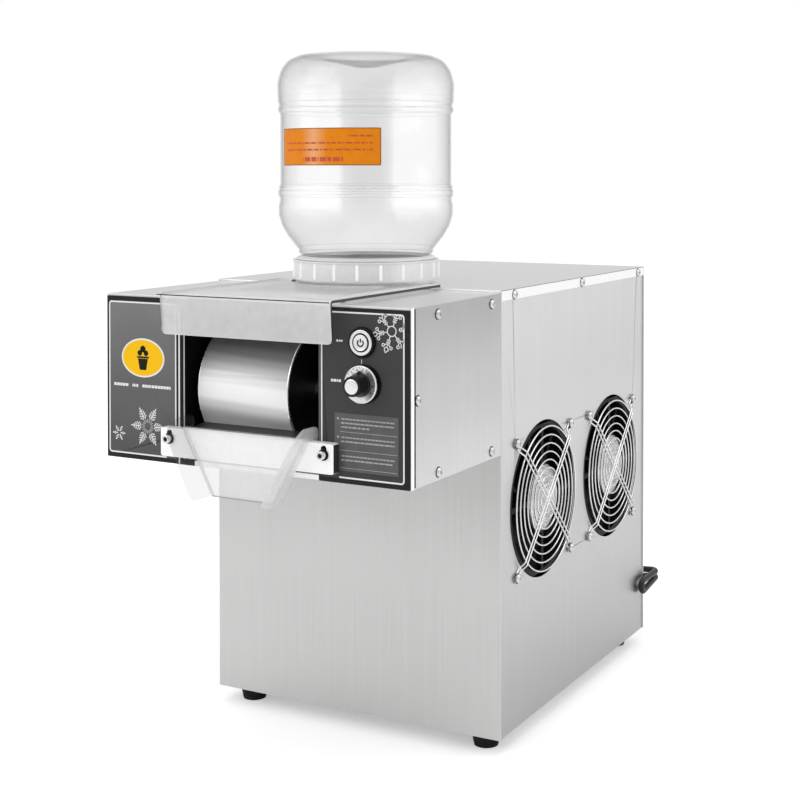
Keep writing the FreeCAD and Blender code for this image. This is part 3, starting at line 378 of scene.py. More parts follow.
def brushed_metal(name, tone, rough, grain, contrast=0.035, width=0.5 * MM, length=120 * MM, depth=0.006 * MM,
                  painted_fade=None, edge_highlight=None, flank_glow=0.0):
    """Sheet with fine lines along one axis. A fade gives (height, share of the tone) from low to high:
    painted shade that darkens the sheet along its height. An edge tone paints a highlight along the sheet's
    edges, and a flank strength paints the faces turned left or right bright with a faint glow.
    """
    recipe = Recipe(name)
    fine = recipe.noise(grained(width, grain, length), 3.0)
    wide = recipe.noise(grained(width * 9, grain, length * 2), 1.0)
    lines = recipe.calc("ADD", recipe.calc("MULTIPLY", fine, 0.8), recipe.calc("MULTIPLY", wide, 0.2))
    colour = recipe.uneven(recipe.remap(lines, 0.0, 1.0, 0.38, 0.62), tone, contrast)
    # Painted shade: the tone is scaled along the height of the sheet.
    if painted_fade:
        low, high = painted_fade[0][0], painted_fade[-1][0]
        share = recipe.remap(recipe.position()["Z"], 0.0, 1.0, low, high)
        stops = [((z - low) / (high - low), part) for z, part in painted_fade]
        colour = recipe.tinted(colour, recipe.ramp(share, stops))
    metal = 1.0
    # Painted highlight: a bright, less metallic band along every sheet edge.
    if edge_highlight:
        edge = recipe.edges(0.8 * MM)
        colour = recipe.mix(edge, colour, edge_highlight)
        metal = recipe.remap(edge, 1.0, 0.4, 0.0, 1.0)
    blotches = recipe.noise(60 * MM, 2.0)
    roughness = recipe.calc("ADD", recipe.remap(lines, rough - 0.04, rough + 0.05),
                            recipe.remap(blotches, -0.02, 0.03))
    # Painted light: faces turned left or right are coloured bright and glow faintly.
    if flank_glow:
        turned = recipe.sideways()
        colour = recipe.mix(turned, colour, PAINTED_HIGHLIGHT)
        recipe.done(Emission_Color=1.0, Emission_Strength=recipe.calc("MULTIPLY", turned, flank_glow))
    return recipe.done(Base_Color=colour, Metallic=metal, Roughness=roughness,
                       Normal=recipe.bump(fine, depth))


def grey(tone):
    return (tone, tone, tone)


def plain_metal(name, tone, rough, grain_size=2 * MM, depth=0.004 * MM, contrast=0.08):
    """Plated, cast or ground metal with a faint cloudy tone."""
    recipe = Recipe(name)
    cloud = recipe.noise(grain_size * 6, 3.0)
    grit = recipe.noise(grain_size, 2.0)
    colour = recipe.uneven(recipe.remap(cloud, 0.0, 1.0), tone, contrast)
    roughness = recipe.remap(grit, max(0.02, rough - 0.05), rough + 0.06)
    return recipe.done(Base_Color=colour, Metallic=1.0, Roughness=roughness, Normal=recipe.bump(grit, depth))


def moulded_plastic(name, tone, rough, grain_size=0.5 * MM, depth=0.02 * MM, contrast=0.12, **extra):
    """Plastic, rubber or enamel with a fine moulded texture and slightly uneven colour."""
    recipe = Recipe(name)
    cloud = recipe.noise(14 * MM, 3.0)
    grain = recipe.noise(grain_size, 2.0)
    colour = recipe.uneven(recipe.remap(cloud, 0.0, 1.0), tone, contrast)
    roughness = recipe.remap(grain, max(0.03, rough - 0.06), min(1.0, rough + 0.06))
    return recipe.done(Base_Color=colour, Roughness=roughness, Normal=recipe.bump(grain, depth), **extra)


def clear_plastic(name, tint, haze, veil, gloss, glance_tint, waviness=0.0, shine=0.04, lift=0.0):
    """Clear sheet: light passes straight on, a milky veil scatters some, and the gloss grows at a glance. The
    lift makes the veil glow, a painted glow, though the sheet is no lamp.
    """
    recipe = Recipe(name)
    edge = recipe.facing(3.0)
    bump = recipe.bump(recipe.noise(26 * MM, 2.0), waviness)
    through = recipe.node("BsdfTransparent", {"Color": recipe.mix(edge, tint, glance_tint)})
    scatter = recipe.node("BsdfDiffuse", {"Color": veil})
    glow = recipe.node("BsdfTranslucent", {"Color": veil})
    milk = recipe.node("MixShader", {0: 0.4, 1: scatter, 2: glow})
    # Painted light: the lift makes the milky veil glow.
    milk = recipe.node("AddShader", {0: milk, 1: recipe.node("Emission", {"Strength": lift})})
    milky = recipe.calc("MULTIPLY", recipe.remap(recipe.noise(9 * MM, 2.0), 0.95, 1.05), haze)
    body = recipe.node("MixShader", {0: milky, 1: through, 2: milk})
    mirror = recipe.node("BsdfGlossy", {"Color": 1.0, "Roughness": gloss, "Normal": bump})
    amount = recipe.calc("ADD", recipe.calc("MULTIPLY", edge, 0.1 + 10 * shine), shine)
    recipe.feed(recipe.end, recipe.node("MixShader", {0: amount, 1: body, 2: mirror}))
    return recipe.material


def acrylic_edge():
    """The sawn edge of clear sheet: pale with a faint painted glow on most sides, and painted shade, nearly
    black, where it looks to the right.
    """
    recipe = Recipe("acrylic_edge")
    # Painted shade: faces turned to the right are nearly black.
    dark = recipe.calc("GREATER_THAN", recipe.turned_to(RIGHT), 0.85)
    cloud = recipe.remap(recipe.noise(3 * MM, 2.0), 0.75, 0.92)
    colour = recipe.mix(dark, cloud, 0.04)
    # Painted light: the other faces glow faintly.
    lit = recipe.calc("MULTIPLY", recipe.calc("SUBTRACT", 1.0, dark), 0.15)
    return recipe.done(Base_Color=colour, Roughness=0.35, Emission_Color=1.0, Emission_Strength=lit)


def cap_skin():
    """Pale moulded cap with painted light: it glows most where its surface turns towards the right of the
    view, and a little where it turns away.
    """
    recipe = Recipe("cap_plastic")
    side = recipe.turned_to(VIEW_RIGHT)
    # Painted light: a glow set by which way the surface turns.
    light = recipe.ramp(side, [(0.0, 0.06), (0.3, 0.0), (0.6, 0.0), (0.78, 0.12), (0.95, 0.06)])
    tone = recipe.remap(recipe.noise(4 * MM, 3.0), 0.76, 0.8)
    bump = recipe.bump(recipe.noise(0.8 * MM, 2.0), 0.01 * MM)
    return recipe.done(Base_Color=tone, Roughness=0.34, Normal=bump, Emission_Color=1.0,
                       Emission_Strength=light)


def bottle_clear():
    """Thin blown plastic: a grey middle between two pale bands of painted highlight, set by which way the
    surface turns and faded out near the neck and base, painted dark lines of shade at its ribs, and a darker
    rim.
    """
    recipe = Recipe("bottle_plastic")
    side = recipe.turned_to(VIEW_RIGHT)
    # Painted highlight: pale bands where the surface turns towards the lamps, with a grey middle between
    # them.
    band = recipe.ramp(side, [(0.02, 0.955), (0.09, 0.985), (0.2, 1.0), (0.36, 0.998), (0.42, 0.945),
                              (0.6, 0.915), (0.66, 0.935), (0.7, 1.0), (0.9, 1.0), (0.98, 0.955)])
    base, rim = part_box("water_bottle")[1].z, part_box("bottle_cap")[1].z
    climb = recipe.position()["Z"]
    rise = recipe.remap(climb, 0.0, 1.0, rim, base)
    # The painted highlight bands fade out near the neck and the base.
    middle = recipe.ramp(rise, [(0.0, 0.0), (0.18, 0.0), (0.28, 1.0), (0.8, 1.0), (0.95, 0.0), (1.0, 0.0)])
    tone = recipe.mix(middle, 0.935, band)
    # Painted shade: thin dark lines at the heights of the ribs.
    lines = 0.0
    for above_rim, share in ((4.9, 0.8), (9.6, 0.5), (51.0, 0.5), (55.8, 0.6), (60.2, 0.35), (117.4, 0.35),
                             (121.0, 0.6), (125.8, 0.6), (131.0, 0.2), (163.9, 0.7)):
        line = recipe.near(climb, rim + above_rim * MM, 0.4 * MM)
        lines = recipe.calc("ADD", recipe.calc("MULTIPLY", line, share), lines)
    edge = recipe.facing(5.0)
    cloud = recipe.remap(recipe.noise(18 * MM, 2.0), 0.99, 1.0)
    tint = recipe.mix(recipe.calc("MULTIPLY", lines, 0.4), recipe.tinted(tone, cloud), 0.7)
    through = recipe.node("BsdfTransparent", {"Color": recipe.mix(edge, tint, (0.72, 0.72, 0.73))})
    bump = recipe.bump(recipe.noise(30 * MM, 1.0), 0.2 * MM)
    mirror = recipe.node("BsdfGlossy", {"Color": 1.0, "Roughness": 0.06, "Normal": bump})
    amount = recipe.calc("ADD", recipe.calc("MULTIPLY", edge, 0.3), 0.02)
    recipe.feed(recipe.end, recipe.node("MixShader", {0: amount, 1: through, 2: mirror}))
    return recipe.material


def label_film():
    """Orange film with a painted highlight: a pale sheen painted in a band where it faces forwards."""
    recipe = Recipe("label_orange")
    # Painted highlight: a pale band near the label's front.
    away = recipe.calc("ABSOLUTE", recipe.calc("SUBTRACT", recipe.position()["X"], -5.4 * MM))
    sheen = recipe.remap(away, 0.5, 0.0, 0.0, 12 * MM)
    cloud = recipe.noise(8 * MM, 2.0)
    orange = recipe.mix(recipe.remap(cloud, 0.0, 1.0), (0.8, 0.23, 0.003), (0.84, 0.26, 0.006))
    return recipe.done(Base_Color=recipe.mix(sheen, orange, (0.95, 0.6, 0.36)), Roughness=0.45,
                       Specular_IOR_Level=0.15)


def within(recipe, x, z):
    """1 inside an upright rectangle of the front, and 0 round it."""
    place = recipe.position()
    across = recipe.near(place["X"], (x[0] + x[1]) / 2, (x[1] - x[0]) / 2)
    upward = recipe.near(place["Z"], (z[0] + z[1]) / 2, (z[1] - z[0]) / 2)
    return recipe.calc("MULTIPLY", across, upward)


def fascia_film(name, x, z, stops, rim_tone=0.006):
    """Dark printed film, nearly black outside its border and fading upwards from one grey to the next."""
    recipe = Recipe(name)
    rise = recipe.remap(recipe.position()["Z"], 0.0, 1.0, z[0], z[1])
    cloud = recipe.noise(30 * MM, 3.0)
    rise = recipe.calc("ADD", rise, recipe.remap(cloud, -0.04, 0.04))
    grain = recipe.noise(0.35 * MM, 2.0)
    colour = recipe.mix(within(recipe, x, z), rim_tone, recipe.ramp(rise, stops))
    return recipe.done(Base_Color=colour, Roughness=recipe.remap(grain, 0.36, 0.46), Specular_IOR_Level=0.3,
                       Normal=recipe.bump(grain, 0.004 * MM))


def drum_skin():
    """Turned steel with a painted reflection: its colour follows which way the surface faces, standing in for
    the dark hood above it, a pale room in front and the tray below, and it glows faintly.
    """
    recipe = Recipe("drum_steel")
    fine = recipe.noise([60 * MM, 0.5 * MM, 0.5 * MM], 3.0)
    # Painted reflection: the tone is set by how far the surface turns up, and it is darkest where the surface
    # faces straight up.
    up = recipe.turned_to(UP)
    tone = recipe.ramp(up, [(0.0, 0.5), (0.2, 0.66), (0.31, 0.46), (0.4, 0.66), (0.46, 0.9), (0.55, 0.93),
                            (0.62, 0.74), (0.68, 0.5), (0.75, 0.33), (0.8, 0.19), (0.88, 0.11), (1.0, 0.06)])
    colour = recipe.tinted(tone, recipe.remap(fine, 0.97, 1.03))
    # A faint emission adds a painted glow.
    return recipe.done(Base_Color=colour, Metallic=0.35, Roughness=recipe.remap(fine, 0.42, 0.52),
                       Specular_IOR_Level=0.15, Normal=recipe.bump(fine, 0.003 * MM), Emission_Color=colour,
                       Emission_Strength=0.06)


def bar_skin():
    """Bright satin stainless bar with a faint painted glow on its faces, and painted shade, nearly black, on
    the sawn end that faces right.
    """
    recipe = Recipe("bar_steel")
    fine = recipe.noise([60 * MM, 0.5 * MM, 0.5 * MM], 3.0)
    # Painted shade: the end that faces right is coloured nearly black.
    end = recipe.calc("GREATER_THAN", recipe.turned_to(RIGHT), 0.9)
    colour = recipe.mix(end, recipe.mix(recipe.remap(fine, 0.0, 1.0), 0.93, 1.0), 0.03)
    # Painted light: the other faces glow faintly.
    face = recipe.calc("SUBTRACT", 1.0, end)
    return recipe.done(Base_Color=colour, Metallic=recipe.calc("MULTIPLY", face, 0.3),
                       Roughness=recipe.remap(fine, 0.3, 0.4), Normal=recipe.bump(fine, 0.003 * MM),
                       Emission_Color=1.0, Emission_Strength=recipe.calc("MULTIPLY", face, 0.1))


def dial_skin():
    """Turned metal disc with painted shade on its right side and a bright rim painted as a highlight."""
    recipe = Recipe("dial_metal")
    middle, (low, high) = centre_of("speed_dial"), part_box("speed_dial")
    radius = (high.x - low.x) / 2
    place = recipe.position()
    across = recipe.calc("SUBTRACT", place["X"], middle.x)
    upward = recipe.calc("SUBTRACT", place["Z"], middle.z)
    reach = recipe.calc("POWER", recipe.calc("ADD", recipe.calc("MULTIPLY", across, across),
                                             recipe.calc("MULTIPLY", upward, upward)), 0.5)
    side = recipe.remap(recipe.calc("DIVIDE", across, reach), 0.0, 1.0, -1.0, 1.0)
    # Painted shade: the disc darkens towards its right side.
    shade = recipe.ramp(side, [(0.0, 0.9), (0.66, 0.84), (0.78, 0.42), (0.9, 0.2), (1.0, 0.26)])
    # Painted highlight: a bright ring at the disc's rim.
    rim = recipe.calc("GREATER_THAN", reach, radius - 0.75 * MM)
    grain = recipe.noise(0.6 * MM, 2.0)
    return recipe.done(Base_Color=recipe.mix(rim, shade, 0.95), Metallic=0.6,
                       Roughness=recipe.remap(grain, 0.26, 0.36), Normal=recipe.bump(grain, 0.004 * MM))


def roof_skin():
    """Brushed roof sheet with painted light: its turned-down sides are coloured brighter and glow faintly,
    its top is a painted reflection a little brighter towards the back, and a dark line runs along the fold.
    """
    recipe = Recipe("roof_steel")
    fine = recipe.noise([120 * MM, 0.5 * MM, 0.5 * MM], 3.0)
    low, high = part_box("top_cover")
    # Painted reflection: the top is a little brighter towards the back.
    back = recipe.remap(recipe.position()["Y"], 0.97, 1.0, low.y, high.y)
    top = recipe.mix(recipe.remap(fine, 0.0, 1.0), 0.86, 0.92)
    # Painted light: the turned-down sides are coloured bright, less metallic, and glow faintly.
    flank_glow = recipe.sideways()
    colour = recipe.mix(flank_glow, recipe.tinted(top, back), PAINTED_HIGHLIGHT)
    fold = recipe.calc("GREATER_THAN", recipe.position()["Z"], high.z - 0.7 * MM)
    colour = recipe.mix(recipe.calc("MULTIPLY", fold, flank_glow), colour, 0.2)
    return recipe.done(Base_Color=colour, Metallic=recipe.remap(flank_glow, 1.0, 0.15, 0.0, 1.0),
                       Roughness=recipe.remap(fine, 0.3, 0.38), Normal=recipe.bump(fine, 0.004 * MM),
                       Emission_Color=1.0, Emission_Strength=recipe.calc("MULTIPLY", flank_glow, 0.12))


def fan_film():
    """The fan hubs' silver film, crinkled so that it glints."""
    recipe = Recipe("hub_film")
    crease = recipe.node("TexVoronoi", {"Vector": recipe.place, "Scale": 1 / (4.5 * MM)}, "Distance")
    fine = recipe.noise(1.4 * MM, 3.0)
    mixed = recipe.calc("ADD", crease, recipe.calc("MULTIPLY", fine, 0.5))
    colour = recipe.mix(recipe.remap(fine, 0.0, 1.0, 0.35, 0.6), (0.55, 0.56, 0.58), 0.97)
    return recipe.done(Base_Color=colour, Metallic=0.8, Roughness=0.28, Normal=recipe.bump(mixed, 0.35 * MM))


def fin_stack():
    """Condenser fins: thin bright plates with painted shade in the dark gaps between them."""
    recipe = Recipe("coil_fins")
    wave = recipe.node("TexWave", {"Vector": recipe.place, "Scale": 1 / (11.0 * MM), "Distortion": 0.6,
                                   "Detail": 1.0}, "Fac", bands_direction="Y")
    # Painted shade: the gaps between the plates are dark bands.
    colour = recipe.mix(recipe.remap(wave, 0.0, 1.0, 0.2, 0.6), (0.2, 0.2, 0.21), (0.78, 0.79, 0.8))
    return recipe.done(Base_Color=colour, Metallic=0.9, Roughness=0.4, Normal=recipe.bump(wave, 0.2 * MM))


def zinc_sheet():
    """Galvanised sheet with its patchwork of crystals."""
    recipe = Recipe("galvanised_sheet")
    cell = recipe.node("TexVoronoi", {"Vector": recipe.place, "Scale": 1 / (9 * MM)}, "Color")
    shade = recipe.node("SeparateColor", {0: cell}, 0)
    colour = recipe.mix(shade, (0.5, 0.51, 0.53), (0.68, 0.69, 0.71))
    return recipe.done(Base_Color=colour, Metallic=1.0, Roughness=recipe.remap(shade, 0.34, 0.5, 0.0, 1.0))


def circuit_board():
    """Green board with paler tracks, and dark parts above it."""
    recipe = Recipe("board_green")
    board_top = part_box("control_board")[0].z + 9.8 * MM
    track = recipe.node("TexBrick", {"Vector": recipe.place, "Scale": 1 / (16 * MM), "Mortar Size": 0.03,
                                     "Color1": (0.02, 0.2, 0.08), "Color2": (0.03, 0.24, 0.1),
                                     "Mortar": (0.25, 0.42, 0.2)}, "Color")
    above = recipe.calc("GREATER_THAN", recipe.position()["Z"], board_top)
    grain = recipe.noise(1.5 * MM, 2.0)
    part = recipe.mix(recipe.remap(grain, 0.0, 1.0), (0.03, 0.03, 0.035), (0.07, 0.07, 0.08))
    return recipe.done(Base_Color=recipe.mix(above, track, part), Roughness=recipe.remap(grain, 0.35, 0.5),
                       Normal=recipe.bump(grain, 0.03 * MM))


# The cabinet's sheets are one brushed steel, and these copies differ as painted light. The sides and the head
# get paler tones than the front. The fades are painted shade: the front is darker towards the top under the
# head, the sides darker towards the bottom and the head darker towards the top. The bright edge tone is a
# painted highlight along sheet edges, and the frame's side faces are painted bright with a faint glow.
STEEL = (0.74, 0.74, 0.735)
# The tone of painted highlights.
PAINTED_HIGHLIGHT = 0.97
front_steel = brushed_metal("front_steel", STEEL, 0.36, "z", edge_highlight=PAINTED_HIGHLIGHT,
                            painted_fade=((0.0, 1.0), (0.1, 0.92), (0.23, 0.76), (0.35, 0.74)))
side_steel = brushed_metal("side_steel", (0.9, 0.9, 0.895), 0.36, "z", edge_highlight=PAINTED_HIGHLIGHT,
                           painted_fade=((0.0, 0.67), (0.12, 0.76), (0.25, 0.88), (0.35, 1.0)))
head_steel = brushed_metal("head_steel", (0.8, 0.8, 0.795), 0.36, "z", edge_highlight=PAINTED_HIGHLIGHT,
                           painted_fade=((0.215, 1.0), (0.28, 0.87), (0.345, 0.72)))
frame_steel = brushed_metal("frame_steel", STEEL, 0.36, "z", edge_highlight=PAINTED_HIGHLIGHT, flank_glow=0.3)
roof_steel = roof_skin()
case_steel = brushed_metal("case_steel", STEEL, 0.36, "z")
chamber_black = moulded_plastic("chamber_black", grey(0.004), 0.7, Specular_IOR_Level=0.1)
drum_steel = drum_skin()
bar_steel = bar_skin()
blade_steel = brushed_metal("blade_steel", grey(0.12), 0.5, "y", 0.3, 0.4 * MM, 6 * MM)
ground_steel = brushed_metal("shaft_steel", (0.62, 0.62, 0.63), 0.25, "y", 0.06, 0.3 * MM, 30 * MM)
screw_zinc = plain_metal("fasteners", grey(0.8), 0.24)
wire_chrome = plain_metal("guard_wire", grey(0.9), 0.16)
dial_metal = dial_skin()
button_metal = plain_metal("button_metal", grey(0.9), 0.26)
brass = plain_metal("brass", (0.72, 0.52, 0.24), 0.3)
copper = plain_metal("copper", (0.76, 0.42, 0.27), 0.28, contrast=0.16)
galvanised = zinc_sheet()
fins = fin_stack()
BADGE_X, BADGE_Z = (-0.1287, -0.0660), (0.2222, 0.3372)
CONTROL_X, CONTROL_Z = (0.0600, 0.1267), (0.2222, 0.3380)
badge_film = fascia_film("badge_film", BADGE_X, BADGE_Z,
                         [(0.0, 0.085), (0.4, 0.12), (0.75, 0.16), (1.0, 0.2)])
control_film = fascia_film("control_film", CONTROL_X, CONTROL_Z, [(0.0, 0.04), (0.4, 0.045), (1.0, 0.045)])
visor_plastic = clear_plastic("visor_plastic", 0.98, 0.55, 0.93, 0.12, 0.6, 0.05 * MM, lift=0.1)
chute_plastic = clear_plastic("chute_plastic", 0.97, 0.41, 0.93, 0.1, 0.6, 0.03 * MM, lift=0.13)
# The chute's wings are one plastic in two copies: the near wing's copy is milkier and brighter as painted
# light, and the far wing's copy is darker and clearer as painted shade.
near_wing_lit = clear_plastic("near_wing_lit", 0.96, 0.36, 0.93, 0.1, 0.9, 0.03 * MM, lift=0.02)
far_wing_shaded = clear_plastic("far_wing_shaded", 0.87, 0.01, 0.9, 0.1, 0.84, 0.03 * MM, shine=0.004)
# Painted shade: a dark colour for the fine bevels along the chute's clear edges, which draws them as dark
# lines.
edge_shade_line = moulded_plastic("acrylic_edge_line", grey(0.06), 0.5, contrast=0.1)
cut_edge = acrylic_edge()
bottle_plastic = bottle_clear()
cap_plastic = cap_skin()
# The cap's grip ribs: pale plastic with a painted glow from emission.
glowing_rib_plastic = moulded_plastic("glowing_rib_plastic", grey(0.97), 0.3, 0.8 * MM, 0.01 * MM, 0.02,
                              Emission_Color=1.0, Emission_Strength=0.14)
rubber = moulded_plastic("soft_rubber", grey(0.009), 0.62, Specular_IOR_Level=0.25)
black_plastic = moulded_plastic("black_plastic", grey(0.006), 0.5, Specular_IOR_Level=0.2)
knob_plastic = moulded_plastic("knob_plastic", grey(0.006), 0.36, Specular_IOR_Level=0.3)
cord_vinyl = moulded_plastic("cord_vinyl", grey(0.011), 0.28)
drum_end_plastic = moulded_plastic("drum_end_plastic", grey(0.006), 0.4, Specular_IOR_Level=0.3)
white_plastic = moulded_plastic("white_plastic", (0.84, 0.84, 0.81), 0.4, contrast=0.02)
gear_plastic = moulded_plastic("gear_plastic", (0.8, 0.78, 0.7), 0.4, contrast=0.03)
hose_plastic = moulded_plastic("clear_hose", (0.8, 0.83, 0.84), 0.3, contrast=0.03, Transmission_Weight=0.4)
enamel = moulded_plastic("motor_paint", (0.022, 0.022, 0.024), 0.34, 1.2 * MM, 0.03 * MM)
board_green = circuit_board()
hub_film = fan_film()
white_ink = moulded_plastic("white_ink", grey(0.86), 0.45, contrast=0.03)
grey_ink = moulded_plastic("grey_ink", grey(0.105), 0.4, Specular_IOR_Level=0.3)
pale_ink = moulded_plastic("pale_ink", (0.42, 0.42, 0.43), 0.45)
dark_ink = moulded_plastic("dark_ink", grey(0.008), 0.5, Specular_IOR_Level=0.15)
badge_yellow = moulded_plastic("badge_yellow", (0.98, 0.56, 0.003), 0.5, contrast=0.02,
                               Specular_IOR_Level=0.15)
label_orange = label_film()
label_brown = moulded_plastic("label_brown", (0.3, 0.1, 0.015), 0.4)
label_red = moulded_plastic("label_red", (0.58, 0.08, 0.02), 0.4)

CAD_MATERIALS = {
    front_steel: ["cabinet_front_panel", "rear_panel"],
    side_steel: ["right_side_panel", "left_side_panel"],
    head_steel: ["head_right_side", "head_left_side"],
    frame_steel: ["head_front_frame"],
    case_steel: ["head_bottom_pan"],
    roof_steel: ["top_cover", "head_top_plate"],
    chamber_black: ["chamber_left_wall", "chamber_right_wall", "chamber_back_wall"],
    galvanised: ["base_pan", "motor_bracket"],
    badge_film: ["badge_panel"],
    control_film: ["control_panel"],
    visor_plastic: ["visor"],
    chute_plastic: ["ice_chute"],
    bar_steel: ["blade_bar"],
    blade_steel: ["scraper_blade"],
    drum_steel: ["drum_shell"],
    drum_end_plastic: ["drum_end_left", "drum_end_right"],
    ground_steel: ["drum_shaft", "motor_pinion", "potentiometer_shaft"],
    white_plastic: ["cap_gasket", "drum_bearings", "water_trough", "bottle_seat", "valve_plunger"],
    brass: ["rotary_union"],
    gear_plastic: ["drum_gear"],
    enamel: ["gear_motor", "compressor", "potentiometer"],
    hose_plastic: ["feed_tube"],
    bottle_plastic: ["water_bottle"],
    cap_plastic: ["bottle_cap"],
    rubber: ["compressor_mounts", "feet"],
    screw_zinc: ["valve_spring", "panel_nuts", "case_screws", "guard_screws", "blade_screws"],
    button_metal: ["power_button", "power_button_body"],
    knob_plastic: ["speed_knob"],
    dial_metal: ["speed_dial"],
    black_plastic: ["fan_frames", "front_fan_rotor", "rear_fan_rotor", "strain_relief"],
    wire_chrome: ["fan_guards"],
    fins: ["condenser"],
    copper: ["refrigerant_lines"],
    board_green: ["control_board"],
    cord_vinyl: ["power_cord"],
}

SOFT_EDGES = {
    0.35 * MM: ["cabinet_front_panel", "right_side_panel", "left_side_panel", "rear_panel", "top_cover",
                "head_bottom_pan", "head_top_plate", "head_right_side", "head_left_side", "head_front_frame",
                "blade_bar", "control_panel", "badge_panel"],
    0.6 * MM: ["drum_shell", "bottle_cap", "feet"],
}


def dress_cad_nodes():
    for material, names in CAD_MATERIALS.items():
        for name in names:
            for slot in NODES[name].material_slots:
                slot.material = material
    for width, names in SOFT_EDGES.items():
        for name in names:
            soften(NODES[name], width)


# Bottle and cap

BOTTLE = centre_of("water_bottle")
CAP_LOW, CAP_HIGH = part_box("bottle_cap")
CAP_SPOT = Vector((BOTTLE.x, BOTTLE.y, CAP_HIGH.z))


def bottle_outline(inset):
    """Radius and height above the cap's rim, from neck to base, for the wall's outer or inner face."""
    neck, body = 52.0, 69.0
    corners = [(neck, -14.3), (neck, 3.8, 1.5), (54.6, 5.2, 1), (54.6, 8.0, 1), (57.4, 11.6, 3),
               (63.0, 18.7, 10), (67.9, 27.0, 12), (70.5, 36.0, 10), (70.5, 43.0, 3),
               (69.6, 47.6, 2), (69.6, 49.6, 1), (70.9, 51.4, 0.8), (70.9, 55.4, 0.8), (69.9, 57.0, 1),
               (70.4, 58.2, 0.6), (body, 60.4, 1), (body, 117.0, 1), (70.8, 119.6, 1), (70.8, 122.4, 1),
               (70.0, 123.6, 0.8), (70.0, 125.2, 0.8), (70.9, 126.6, 0.8), (71.3, 137.5, 20),
               (71.3, 142.5, 16), (68.6, 152.5, 12), (62.8, 160.4, 10), (54.5, 163.8, 8),
               (46.0, 164.7, 3), (38.0, 163.2, 6), (8.0, 156.4, 3), (0.0, 156.0)]
    outline = in_mm(corners, 4, closed=False)
    if not inset:
        return outline
    moved = []
    for index, point in enumerate(outline):
        before = outline[max(index - 1, 0)]
        after = outline[min(index + 1, len(outline) - 1)]
        along = (after - before).normalized()
        moved.append(Vector((max(point.x - along.y * inset, 0.0), point.y + along.x * inset)))
    moved[0].y = outline[0].y
    return moved


def build_bottle():
    wall = 1.2 * MM

    def draw(bm):
        lathe(bm, bottle_outline(0) + list(reversed(bottle_outline(wall))), 128, wrap=True)

    def flange(bm):
        outline = [(51.6, 0.4), (56.4, 0.4, 0.4), (56.4, 1.8, 0.9), (53.0, 3.2, 1.2), (51.6, 3.2)]
        lathe(bm, in_mm(outline, 4), 128, wrap=True)

    spot = Matrix.Translation(CAP_SPOT)
    mesh = solid("water_bottle_clear", draw, spot, sharp=60)
    add_piece(mesh, "water_bottle", "bottle_plastic", bottle_plastic, stands_for=["water_bottle"])
    add_piece(solid("bottle_neck_flange", flange, spot), "water_bottle", "bottle_plastic", cap_plastic)


def wrapped(bm, loop, radius, low_radius, columns=40):
    """A thin plate over a loop of (arc length, height) points, wrapped round the bottle's front."""
    flat = bmesh.new()
    prism(flat, loop, low_radius, radius)
    reach = max(abs(p[0]) for p in loop)
    for column in range(1, columns):
        cut_across(flat, (-reach + 2 * reach * column / columns, 0, 0), RIGHT)
    vertices = {}
    for vertex in flat.verts:
        angle = vertex.co.x / low_radius
        spot = (vertex.co.z * math.sin(angle), -vertex.co.z * math.cos(angle), vertex.co.y)
        vertices[vertex] = bm.verts.new(spot)
    for face in flat.faces:
        bm.faces.new([vertices[vertex] for vertex in face.verts])
    flat.free()


def build_label():
    """A plain label on the bottle's front, with short bars where a notice would be."""
    body = 69.4 * MM
    half = body * math.radians(39)
    low, high = 76.5 * MM, 105.5 * MM

    def backing(bm):
        wrapped(bm, rectangle((-half, half), (low, high), 0.8 * MM), body + 0.25 * MM, body + 0.05 * MM)

    def border(bm):
        line = 0.7 * MM
        strips = [((-half + 0.4 * MM, half - 0.4 * MM), (y, y + line)) for y in (low, high - line)]
        strips += [((x, x + line), (low + line, high - line)) for x in (-half, half - line)]
        for x, y in strips:
            wrapped(bm, rectangle(x, y), body + 0.3 * MM, body + 0.24 * MM)

    def marks(bm):
        top, raised = body + 0.32 * MM, body + 0.24 * MM
        for left, right, level, tall in ((-18, 19, 79.6, 3.4), (-40, 42, 88.0, 1.3), (-40, 42, 93.2, 1.3),
                                         (22, 42, 98.6, 1.3)):
            at = left
            while at < right:
                step = 4.2 + 2.6 * math.sin(at * 1.7 + level)
                end = min(at + step, right)
                stroke = rectangle((at * MM, (end - 1.2) * MM), (level * MM, (level + tall) * MM))
                wrapped(bm, stroke, top, raised, 6)
                at = end

    spot = Matrix.Translation(CAP_SPOT - UP * 0.9 * MM) @ Matrix.Rotation(math.radians(1.8), 4, "Z")
    add_piece(solid("bottle_label", backing, spot), "water_bottle", "bottle_plastic", label_orange)
    add_piece(solid("bottle_label_border", border, spot), "water_bottle", "bottle_plastic", label_brown)
    add_piece(solid("bottle_label_marks", marks, spot), "water_bottle", "bottle_plastic", label_red)


